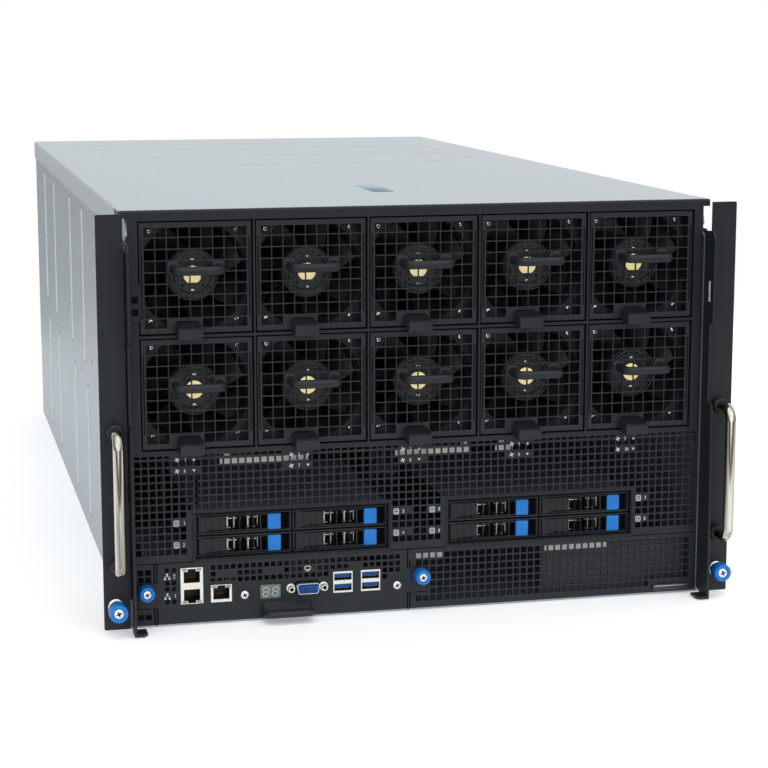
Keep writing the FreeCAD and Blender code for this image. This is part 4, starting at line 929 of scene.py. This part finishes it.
for n in range(1, 9):
    name = f"drive_{n}"
    x, z = middle(f"{name}_carrier")
    piece(f"{name}_tray", name, shifted(carrier, x, z), [f"{name}_carrier"])
    piece(f"{name}_handle_plate", f"{name}_lever", shifted(lever_plate, x, z), bevel=0.25)
    piece(f"{name}_handle", f"{name}_lever", shifted(lever, x, z), [f"{name}_lever"])
print("eight drives with levers placed")

# %% [markdown]
# ## Input and output tray
# The tray's face is one more punched sheet, held by two captive thumbscrews and drawn out by a dished
# finger tab. A thumbscrew is a fluted blue cap round a bright cross-head screw. The flutes could be
# cut one by one, but a cosine in the turned radius gives them all at once. The tab's section is
# carried across, and shortens towards its round corners.


# %% Thumbscrew
def thumbscrew(x, z, base, *, collar, collar_r, head, head_r, shank_r, shank):
    """Washer, collar, fluted cap with a hollow front, screw in the hollow, shank behind."""
    neck, tip, flutes = base - collar, base - collar - head, 20
    washer = turned([(collar_r + 0.9, base), (collar_r + 0.9, base - 0.6), (collar_r + 0.6, base - 0.9),
                     (collar_r, base - 1.0), (collar_r, neck + 0.5), (collar_r - 0.5, neck)],
                    screw_zinc, x, z, steps=28)
    cap = turned([(head_r - 1.4, neck, 0), (head_r - 0.4, neck - 0.2, 0.2), (head_r, neck - 1.0, 0.5),
                  (head_r, tip + 1.2, 0.5), (head_r - 0.35, tip + 0.4, 0.3), (head_r - 1.1, tip, 0),
                  (0.62 * head_r, tip + 0.1, 0), (0.58 * head_r, tip + 1.1, 0), (0.2, tip + 1.1, 0)],
                 blue, x, z, steps=4 * flutes, lobes=flutes)
    stem = turned([(shank_r, base + shank), (shank_r, base - 0.2)], screw_zinc, x, z, steps=16)
    return [washer, cap, stem] + cross_head(x, z, tip + 1.2, 0.54 * head_r, 0.9, screw_zinc)


tray_knob_places, tray_knob_z = (-210.1, -2.8), 28.0
tray_knobs = joined(thumbscrew(x, tray_knob_z, 0, collar=1.2, collar_r=3.6, head=10.8, head_r=5.9,
                               shank_r=2.0, shank=9.5) for x in tray_knob_places)
print(len(tray_knobs), "shells in the two tray thumbscrews")

# %% Tray face
ports = {"pair": (-184.3, -167.7, 16.4, 43.8), "single": (-162.0, -146.4, 16.4, 29.6),
         "display": (-125.0, -109.6, 16.4, 27.2), "video": (-105.0, -74.0, 17.4, 29.4),
         "data_one": (-69.8, -55.0, 17.8, 34.0), "data_two": (-48.6, -33.8, 17.8, 34.0)}
board_screws, port_play, screw_room, face_pitch, face_hole = [(-136.7, 20.6), (-20.6, 20.6)], 0.3, 7, 5.0, 3.5
symbol_places, symbol_row = ((-156, -144), (-122.5, -109), (-56, -47.5)), (35.9, 40.1)
jack_columns, jack_rows, jack_half = (-194.1, -189.1), (42.6, 32.9, 28.3, 18.5), 1.6
short_columns, short_row = (-160.3, -155.3, -150.3, -145.3), (32.4, 34.4)
cuts = [(x0 - port_play, x1 + port_play, z0 - port_play, z1 + port_play)
        for key, (x0, x1, z0, z1) in ports.items() if key != "video"]
# The holes keep clear of ports, screws, jack columns and printed symbols.
guards = [(x0 - 1.6, x1 + 1.6, z0 - 2, z1 + (1.6 if key == "video" else 2.0))
          for key, (x0, x1, z0, z1) in ports.items()]
guards += [(x - screw_room, x + screw_room, z - screw_room, z + screw_room) for x, z in board_screws]
guards += [(-202, -187, 0, zone_top), (-192.3, -163.0, 0, zone_top), (-93.0, -85.4, 35.6, 39.9)]
guards += [(*place, *symbol_row) for place in symbol_places]
face_field = (tray_left + 4, tray_right - 5, 25.4, cover_top - 2.5)
face_holes = hole_field(*face_field, face_pitch, face_hole, guards)
short_holes = [(x - face_hole / 2, x + face_hole / 2, *short_row) for x in short_columns]
jack_holes = [(x - jack_half, x + jack_half, z - jack_half, z + jack_half)
              for x in jack_columns for z in jack_rows]
outside = [(*side, *height) for side in ((tab_left, tray_left), (tray_right, tab_right))
           for height in ((foot_gap, tab_low), (tab_high, cover_top))]
face = panel((tab_left, tab_right, foot_gap, cover_top), cuts, face_holes, short_holes, jack_holes, outside)
piece("tray_face", "io_drawer", [face], bevel=0.2)
print(len(face_holes) + len(jack_holes), "holes in the tray face")

# %% Finger tab
tab_x, tab_half, tab_reach, tab_round, tab_foot = -105.0, 19.0, 17.5, 7.0, 2.6
across = np.r_[-1, -0.985, -0.94, -0.86, np.linspace(-0.74, 0.74, 9), 0.86, 0.94, 0.985, 1] * tab_half
corner = np.clip((abs(across) - tab_half + tab_round) / tab_round, 0, 1)
reach = tab_reach - tab_round * (1 - np.sqrt(1 - corner ** 2 * 0.98))
lift = 1 - 0.3 * corner ** 6
# The section is a list of shares of the reach and heights, from the foot up and over the dished lip.
finger = np.array([(0.0, tab_foot), (0.0, 13.6), (0.12, 12.0), (0.3, 9.4), (0.5, 7.8), (0.65, 7.8),
                   (0.78, 9.0), (0.88, 10.4), (0.95, 10.2), (1.0, 8.8), (0.99, 6.8), (0.93, 5.6),
                   (0.8, 5.0), (0.4, 4.0)])
tab_loops = np.stack([np.broadcast_to((tab_x + across)[:, None], (len(across), len(finger))),
                      -reach[:, None] * finger[:, 0],
                      tab_foot + (finger[:, 1] - tab_foot) * lift[:, None]], -1)
body = [loft(tab_loops, moulded)]
print("finger tab reaches", tab_reach, "mm out")

# %% Tray body and board screws
u_line = [(-199, 1.5), (-15, 1.5), (-15, 28), (-16.2, 28), (-16.2, 2.7), (-197.8, 2.7), (-197.8, 28),
          (-199, 28)]
washer_ring = [(6.7, 0.1), (6.7, -0.25), (6.3, -0.45), (5.7, -0.45), (5.3, -0.1), (4.0, 0.05)]
body_back = 241.5
body.append(prism(u_line, sheet - 0.1, body_back, zinc))
for x, z in board_screws:
    body.append(turned(washer_ring, powder, x, z, steps=40))
    body += cross_head(x, z, 0.1, radius=3.2, height=1.5, finish=screw_zinc)
piece("tray_body", "io_drawer", body + tray_knobs, ["io_tray"])
print("tray body with", len(board_screws), "board screws")

# %% Marks on the tray
tree_lines = [[(-1.6, -1.2), (-1.6, 0), (1.6, 0), (1.6, -1.2)], [(0, 0), (0, 1.2)]]
tree_boxes = ((0, 1.7), (-1.6, -1.7), (1.6, -1.7))
tree_x, tree_number_x, tree_rows, screen_x, screen_z = -194.1, -188.8, ((2, 37.9), (1, 22.9)), -89.2, 38.2
tray_marks = []
for n, z in tree_rows:
    tray_marks += [stroke(run, tree_x, z, 0.4, ink) for run in tree_lines]
    tray_marks += [prism(rounded(1.5, 1.3, 0.3, tree_x + u, z + v, 2), -INK, 0, ink) for u, v in tree_boxes]
    tray_marks += number(n, tree_number_x, z, 1.3)
tray_marks.append(printed_frame(rounded(4.6, 3.2, 0.8, screen_x, screen_z, 3)))
tray_marks.append(stroke([(-1.2, 0), (1.2, 0)], screen_x, 35.9, 0.5, ink))
piece("tray_marks", "io_drawer", tray_marks)
print(len(tray_marks), "printed shapes on the tray")

# %% [markdown]
# ## Connectors
# A network jack is a plated can with a stepped black mouth and a row of gilt springs; a data port is
# a can with a blue tongue; the video port is a blue block in a D-shaped shell between two hex posts.
# Painted fronts would look flat from the side, so the mouths of jacks and data ports are punched
# through, and a plug would really go in.

# %% Jacks
# Nylon moulded without polish is a plain dark black.
port_black = finish("moulded_nylon_black", "#0F1011", "#161718", roughness=0.5, grain=1.0, relief=0.006)
# A flash of gold on spring wire shows as thin warm lines.
gilt = finish("gold_flashed_contact", "#C39B45", "#D6B25C", metallic=1.0, roughness=0.3, grain=1.0,
              relief=0.002)
# An unlit light pipe lets the dark behind it show, so it looks grey and glossy.
lens = finish("clear_light_pipe", "#7A7F77", "#888D85", roughness=0.2, spread=0.04, grain=1.0, relief=0.002)
can_wall, can_front, can_back = 0.3, -0.6, 23.4
mouth_half, mouth_high, notch_half, notch_high = 6, 8.6, 3, 1.9
contact_half, contact_pitch, insert_back, light_in, light_out = 0.24, 1.02, 14.4, 1.35, 5.3


def jack(port, floors, sides):
    """One stepped mouth for each floor, with a clip notch above it (side 1) or below it (side -1)."""
    x0, x1, z0, z1 = port
    inner = x0 + can_wall, x1 - can_wall, z0 + can_wall, z1 - can_wall
    mid, mouths, shells = (x0 + x1) / 2, [], []
    for floor, side in zip(floors, sides):
        top = floor + mouth_high
        start = top if side > 0 else floor
        mouths += [(mid - mouth_half, mid + mouth_half, floor, top),
                   (mid - notch_half, mid + notch_half, *sorted((start, start + side * notch_high)))]
        z = floor + 0.5 if side > 0 else top - 1.0
        shells += [bar(x - contact_half, x + contact_half, 12.2, 14, z, z + 0.5, gilt)
                   for x in mid + (np.arange(8) - 3.5) * contact_pitch]
        light = z1 - light_in if side > 0 else z0 + light_in
        shells += [pad((3.6, 1.9), (mid + s * light_out, light), 0.2, (-0.75, -0.3), 0.1, lens, steps=2)
                   for _, s in SIDES]
    can = [(0, 0.1), (0, can_back), (can_wall, can_back), (can_wall, 0.1)]
    shells.append(punched(port, mouths, can_front, 0.1, nickel))
    shells.append(punched(inner, mouths, 0.05, insert_back, port_black))
    shells.append(rim_ring(rectangle(*port), can, nickel))
    shells.append(bar(*inner[:2], insert_back, 23.2, *inner[2:], port_black))
    return shells


sockets = jack(ports["pair"], (18.8, 32.4), (-1, 1)) + jack(ports["single"], (18.6,), (1,))
print(len(sockets), "shells in three jacks")

# %% Data ports
# The tongue lies deep in its mouth, so its blue is dark and nearly without shine.
tongue_blue = finish("moulded_tongue_blue", "#0C3A6E", "#124680", roughness=0.4, grain=1.0,
                     Specular_IOR_Level=0.2)
board_low, board_top, storey, slot_half, slot_low, slot_top = 14.8, 16.4, 8.1, 6.6, 1.45, 6.65
pin_offsets = np.array([-3.5, -1.2, 1.2, 3.5])


def data_pair(port):
    """Two mouths, one storey apart, through a plated can, each with a blue tongue under its roof."""
    x0, x1, z0, z1 = port
    mid = (x0 + x1) / 2
    mouths = [(mid - slot_half, mid + slot_half, z0 + slot_low + storey * k, z0 + slot_top + storey * k)
              for k in (0, 1)]
    shells = [punched(port, mouths, can_front, 12, nickel),
              bar(x0 + 0.4, x1 - 0.4, 11.5, 17.4, board_top, z1 - 0.4, port_black)]
    for _, _, _, roof in mouths:
        shells.append(pad((12.2, 3.0), (mid, roof - 1.9), 0.3, (0.2, 11.8), 0.3, tongue_blue, steps=3))
        shells += [bar(x - 0.55, x + 0.55, 0.6, 9, roof - 3.55, roof - 3.35, gilt) for x in mid + pin_offsets]
    return shells


sockets += data_pair(ports["data_one"]) + data_pair(ports["data_two"])
print(len(sockets), "shells in jacks and data ports")

# %% Video port
# The block is a duller and deeper blue than the release tabs.
video_blue = finish("moulded_video_block_blue", "#0D3C82", "#134890", roughness=0.42, grain=1.0,
                    Specular_IOR_Level=0.25)
video_x, video_z, post_out, post_radius = -89.5, 23.4, 12.5, 2.8
pin_pitch, pin_start, pin_shift = 2.5, 0.4, 0.9
d_corners = np.array([(8.6, 4.2), (-8.6, 4.2), (-8.0, -4.2), (8.0, -4.2)]) + (video_x, video_z)
d_centres = d_corners + np.array([(-2, -2), (2, -2), (2, 2), (-2, 2)])
d_line = np.concatenate([rounded(4, 4, 1.9, *c, steps=5)[k * 5:k * 5 + 5] for k, c in enumerate(d_centres)])
# The dark ring round the shell, the pin holes and the holes in the posts are painted shade.
video = [prism(inset(d_line, -1.1), -0.06, 0.0, painted_shade_black),
         rim_ring(d_line, [(0, 0.2), (0, -4.6), (0.2, -5), (0.6, -5), (0.6, 0.2)], nickel),
         softened(inset(d_line, 0.65), -4.3, 0.2, 0.3, video_blue),
         bar(-101, -78, 1.8, 14, board_top, 29.4, port_black)]
for row, z in enumerate((2.1, 0, -2.1)):
    row_x = video_x + (np.arange(5) - 2) * pin_pitch - (row % 2) * pin_shift + pin_start
    video += [turned([(0.55, -4.2), (0.55, -4.34), (0.1, -4.34)], painted_shade_black, x, video_z + z, steps=10)
              for x in row_x]
# A hexagon's radius is its flat's distance over the cosine of the angle from the middle of that flat.
hex_t = np.arange(24) * TURN / 24
hexagon = polar(post_radius * np.cos(TURN / 12) / np.cos((hex_t + TURN / 12) % (TURN / 6) - TURN / 12), hex_t)
post = [(hexagon, 0.0), (hexagon, -4.2), (hexagon * 0.92, -4.6), (circle(1.5, steps=24), -4.6),
        (circle(1.4, steps=24), -1.0)]
for _, s in SIDES:
    spot = np.array([video_x + s * post_out, video_z])
    video.append(loft([level(o + spot, y) for o, y in post], nickel))
    video.append(turned([(3.5, 0.0), (3.5, -0.5), (3.2, -0.8), (2.0, -0.8)], nickel, *spot, steps=28))
    video.append(turned([(1.35, -2.0), (1.35, -4.0), (0.1, -4.0)], painted_shade_black, *spot, steps=16))
print(len(video), "shells in the video port")

# %% Code display
# Cast epoxy with a smoke tint is glossy and grey green.
glass = finish("tinted_display_epoxy", "#525D58", "#5C6762", roughness=0.18, spread=0.04, grain=2.0,
               relief=0.002)
# The segments are filled with a white powder, so they scatter the light and look pale when unlit.
segment = finish("diffusing_segment_epoxy", "#8F9993", "#9FA8A3", roughness=0.35, spread=0.04, grain=1.0,
                 relief=0.002)
display_x, display_z, digit_x = -117.3, 21.8, (-120.8, -113.8)
segment_runs = [[(-1.5, 3.3), (1.7, 3.3)], [(-1.7, 0), (1.5, 0)], [(-1.9, -3.3), (1.3, -3.3)],
                [(-1.9, 2.9), (-2.1, 0.4)], [(-2.2, -0.4), (-2.4, -2.9)], [(2.2, 2.9), (2.0, 0.4)],
                [(1.9, -0.4), (1.7, -2.9)]]
display = [pad((15.4, 10.8), (display_x, display_z), 0.6, (-0.3, 7), 0.3, glass, steps=3)]
display += [stroke(run, x + 0.2, display_z, 0.95, segment, y=-0.36) for x in digit_x for run in segment_runs]
print(len(digit_x), "digits of", len(segment_runs), "segments")

# %% Board
# Solder mask is a thin lacquer over copper: dark green with a clear shine.
mask = finish("solder_mask_green", "#123322", "#1A4230", roughness=0.35, spread=0.06, grain=3.0, relief=0.01)
chips = [(-150, 70, 23, 23, 2.0), (-95, 88, 14, 14, 1.4), (-60, 60, 9, 12, 1.6), (-45, 120, 18, 10, 1.5),
         (-172, 130, 12, 16, 1.8)]
capacitors = [(x, y) for x in (-120, -112, -104) for y in (40, 50)]
stand, chip_foot = 6, 16.3
board = [bar(-195, -19, 4, 190, board_low, board_top, mask)]
board += [bar(x, x + stand, y, y + stand, 2.7, board_low, screw_zinc) for x in (-191, -29) for y in (12, 170)]
board += [pad((w, d), (x, y), 0.6, (chip_foot, board_top + h), 0.3, port_black, steps=3, axis=2)
          for x, y, w, d, h in chips]
board += [prism(circle(3.1, x, y, 20), chip_foot, 24.5, screw_zinc, axis=2) for x, y in capacitors]
board += [pad((40, 6), (-100, y), 0.8, (chip_foot, 24.0), 0.4, port_black, steps=3, axis=2)
          for y in (150, 165)]
piece("port_shells", "io_drawer", sockets + video + display + board, ["io_ports"])
print(len(board), "shells on the board behind the tray face")

# %% [markdown]
# ## Tag, handles and rack screws
# The asset tag is a plastic card that slides out of its slot. Each ear has a nickel-plated steel bar
# bent round two corners, standing on black ferrules. A curve with a bevel depth could make the bar; a
# circle swept along a bail gives the same shape from the helpers at hand. Its mirror shine stands out
# against the powder coat. Below it is a larger blue thumbscrew; the left one stands drawn out on its
# spring, the right one is pushed in.

# %% Asset tag
# Extruded card is smooth along its length: a plain black with a soft shine.
tag_plastic = finish("extruded_tag_plastic_black", "#202225", "#292B2E", roughness=0.4, grain=1.5,
                     relief=0.005)
tag_wide, tag_tall = (tag_high - tag_low)[[0, 2]]
lip_mid = (sleeve_mid[0], tag_high[2] - 1.3)
card = [pad((tag_wide - 2, tag_tall - 2), sleeve_mid, 0.6, (-0.5, 60), 0.3, tag_plastic),
        pad((tag_wide, tag_tall), sleeve_mid, 1.2, (-1.8, -0.3), 0.5, tag_plastic, steps=5),
        pad((tag_wide - 3, 0.6), lip_mid, 0.25, (-1.9, -1.7), 0.1, spring_painted_shade, steps=3)]
piece("pull_tag", "tag", card, ["asset_tag"])
print("tag", round(tag_wide, 1), "mm wide")

# %% Ear handles and rack screws
# Bright and dark streaks run along the bar in its colour: painted reflections.
nickel_painted_streaks = finish("nickel_bar_painted_reflections", "#6F6A62", "#E6E0D4", metallic=1.0, roughness=0.12,
                spread=0.03, grain=3.0, relief=0.001, stretch=(1, 1, 0.02))
handle_x, handle_low, handle_high, ear_face = 231.0, 50.0, 150.0, -8.0
handle_tip, handle_mid = span("ear_handles")[0][1] + 4.0, (handle_low + handle_high) / 2
handle_foot, handle_radius, handle_bend = -14.0, 4.0, 9.0
ferrule = [(6.0, ear_face + 0.1), (6.0, -12.4), (5.4, -13.7), (4.2, -14.2), (3.5, handle_foot)]
knob_x, knob_z, knob_lengths = 232.55, 20.0, {-1: (8.5, 12.5), 1: (5.0, 10.5)}
hoop = bail((handle_high - handle_low) / 2, handle_foot - handle_tip, handle_bend, steps=10)
fittings, ear_screws = [], []
for _, s in SIDES:
    path = level(hoop[:, ::-1] + (handle_tip, handle_mid), s * handle_x, axis=0)
    fittings.append(swept(path, circle(handle_radius, steps=24), (1, 0, 0), nickel_painted_streaks))
    fittings += [turned(ferrule, moulded, s * handle_x, z) for z in (handle_low, handle_high)]
    collar, head = knob_lengths[s]
    ear_screws += thumbscrew(s * knob_x, knob_z, ear_face, collar=collar, collar_r=5.0, head=head, head_r=6.9,
                             shank_r=2.5, shank=15.8)
piece("ear_grips", "chassis", fittings, ["ear_handles"])
piece("ear_screws", "chassis", ear_screws, ["thumbscrews"])
print("two ear handles and two rack screws")

# %% [markdown]
# ## Inside and rear
# Boards and heatsinks are seen only through holes and empty bays, so they stay as CAD shapes and take
# the finish of solder mask and extruded aluminium. Each power supply gets a real face: a punched fan
# grille, a power inlet, a bail handle and a blue release tab. It could be drawn in place, facing
# back, but drawn once facing the front it can use the same helpers, and is then turned round.

# %% Power supplies and inner parts
# Extrusion draws the fins out along their length, which leaves a streaked, bright grey.
sink_metal = finish("extruded_aluminium_fins", "#AEB3B7", "#C0C5C9", metallic=1.0, roughness=0.36, grain=3.0,
                    stretch=(1, 0.1, 1))
# Nickel on rolled sheet is a calm, darker silver.
case_metal = finish("nickel_plated_case_steel", "#8F959A", "#A0A6AB", metallic=0.9, roughness=0.36, grain=5.0,
                    relief=0.003)
coat("circuit_boards", mask)
coat("heatsinks", sink_metal)
supply_z, supply_face, supply_pitch, supply_count = 21.2, 887.0, 73.5, 6
inlet, inlet_mouth = (8.0, 32.0, -13.0, 5.0), (9.6, 30.4, -11.2, 3.2)
inlet_pins = ((14.5, -6.4, -1.2), (25.5, -6.4, -1.2), (20.0, -2.0, 2.2))
air_field, air_pitch, air_hole, grip_height = (-34.5, 5.5, -18, 7.5), 4.6, 3.6, 10.0
air = hole_field(*air_field, air_pitch, air_hole)
# The dark plate behind the inlet's mouth is painted shade.
supply = [pad((73.0, 39.8), (0, 0), 0.8, (1.0, 192), 0.5, case_metal, steps=3),
          punched((-36.2, 36.2, -19.6, 19.6), np.concatenate([air, [inlet]]), 0, 1.2, powder),
          punched(inlet, [inlet_mouth], -0.8, 1.0, port_black),
          bar(9.0, 31.0, 0.9, 1.15, -12, 4, painted_shade_black)]
supply += [bar(x - 0.8, x + 0.8, -0.7, 1.0, z0, z1, nickel) for x, z0, z1 in inlet_pins]
hold_path = level(bail(half=19.5, length=17.6, radius=4.0) + (0, -15.4), grip_height, axis=2)
supply.append(swept(hold_path, oval(2.4, 2.5, 2.4), (0, 0, 1), moulded))
supply.append(pad((7, 12), (31.5, 12), 1, (-5.0, 0.2), 0.6, blue))
supply.append(turned([(1.6, 0.2), (1.6, -0.4), (1.2, -0.7), (0.1, -0.8)], lens, 25.5, 13.5, steps=16))
supply_places = (np.arange(supply_count) - (supply_count - 1) / 2) * supply_pitch
supplies = joined(aimed(supply, "back", (x, supply_face, supply_z)) for x in supply_places)
piece("supply_modules", "chassis", supplies, ["power_supplies"])
print(supply_count, "supplies up to y", round(span("power_supplies")[1][1], 1), "mm")

# %% [markdown]
# ## Studio
# The photograph has a white ground, a bright lid, a dimmer side and dark front faces. Several lamps
# could do that, but they would show as spots in the bright bars. Here it is a white table in a room
# which is bright above and behind, dim at the left and dark below the table's edge, with one soft
# light from beside the camera. The camera stands where the server's edges converge as they do in the
# photograph.

# %% Table
# Matt paint scatters all the light; a weak glow keeps it white in the shade.
floor_paint = finish("matt_white_floor_paint", "#F4F5F6", "#FAFBFB", roughness=0.8, grain=400.0, relief=0.0,
                     Emission_Color=(1, 1, 1, 1), Emission_Strength=0.25)
floor_half, floor_front, floor_back, floor_steps = 1.3, -0.45, 1.45, 3
floor_z = cad_box[0][2] - 0.0002
floor_x, floor_y = (g.ravel() for g in np.meshgrid(
    np.linspace(-floor_half, floor_half, floor_steps),
    front + np.linspace(floor_front, floor_back, floor_steps), indexing="ij"))
floor_points = np.stack([floor_x, floor_y, np.full(len(floor_x), floor_z)], -1)
grid = np.arange(len(floor_x)).reshape(floor_steps, floor_steps)
quads = np.stack([grid[:-1, :-1], grid[1:, :-1], grid[1:, 1:], grid[:-1, 1:]], -1).reshape(-1, 4)
floor_mesh = bpy.data.meshes.new("pale_floor")
floor_mesh.from_pydata(floor_points.tolist(), [], quads.tolist())
floor_mesh.materials.append(floor_paint)
floor = bpy.data.objects.new("pale_floor", floor_mesh)
bpy.context.scene.collection.objects.link(floor)
print("table", 2 * floor_half, "m wide")

# %% Room light and sun
world = bpy.data.worlds.new("white_studio")
bpy.context.scene.world = world
world.use_nodes = True
tree = world.node_tree
tree.nodes.clear()
heading = add(tree, "SeparateXYZ", {"Vector": add(tree, "TexCoord").outputs["Generated"]})
# Each row dims the room along one axis: from where to where, and from what share to what share.
dimming = (("Y", -0.7, 0.7, 0.4, 1.0), ("X", -0.9, 0.1, 0.5, 1.0), ("Z", -0.25, 0.0, 0.1, 1.0))
glow = 1.0
for axis, start, stop, low, high in dimming:
    share = add(tree, "MapRange", {"Value": heading.outputs[axis], "From Min": start, "From Max": stop,
                                   "To Min": low, "To Max": high})
    glow = add(tree, "Math", {0: share.outputs["Result"], 1: glow}, operation="MULTIPLY").outputs[0]
seen = add(tree, "LightPath").outputs["Is Camera Ray"]
strength = add(tree, "Math", {0: glow, 1: seen}, operation="MAXIMUM")
sky = add(tree, "Background", {"Color": (1, 1, 1, 1), "Strength": strength.outputs[0]})
add(tree, "OutputWorld", {"Surface": sky.outputs["Background"]})

sun = bpy.data.lights.new("soft_sun", "SUN")
sun.energy, sun.angle = 2.4, np.radians(100)
sun_object = bpy.data.objects.new("soft_sun", sun)
sun_object.rotation_euler = Vector((0.12, 0.74, -0.66)).to_track_quat("-Z", "Y").to_euler()
bpy.context.scene.collection.objects.link(sun_object)
print("room dimmed along", len(dimming), "axes, sun of", sun.energy, "W per square metre")

# %% Camera
lens_mm, sensor_mm, aim = 96.56, 36.0, Vector((0.2267, 0.9584, -0.1733))
camera = bpy.data.cameras.new("photo_camera")
camera.sensor_width, camera.lens, camera.clip_end = sensor_mm, lens_mm, 200.0
viewer = bpy.data.objects.new("photo_camera", camera)
viewer.location = (-0.3761, front - 1.4603, 0.4389)
viewer.rotation_euler = aim.to_track_quat("-Z", "Y").to_euler()
bpy.context.scene.collection.objects.link(viewer)
bpy.context.scene.camera = viewer
bpy.context.scene.view_settings.view_transform = "Standard"
print("camera", round((viewer.location - Vector((0, front, 0.15))).length, 2), "m from the front")
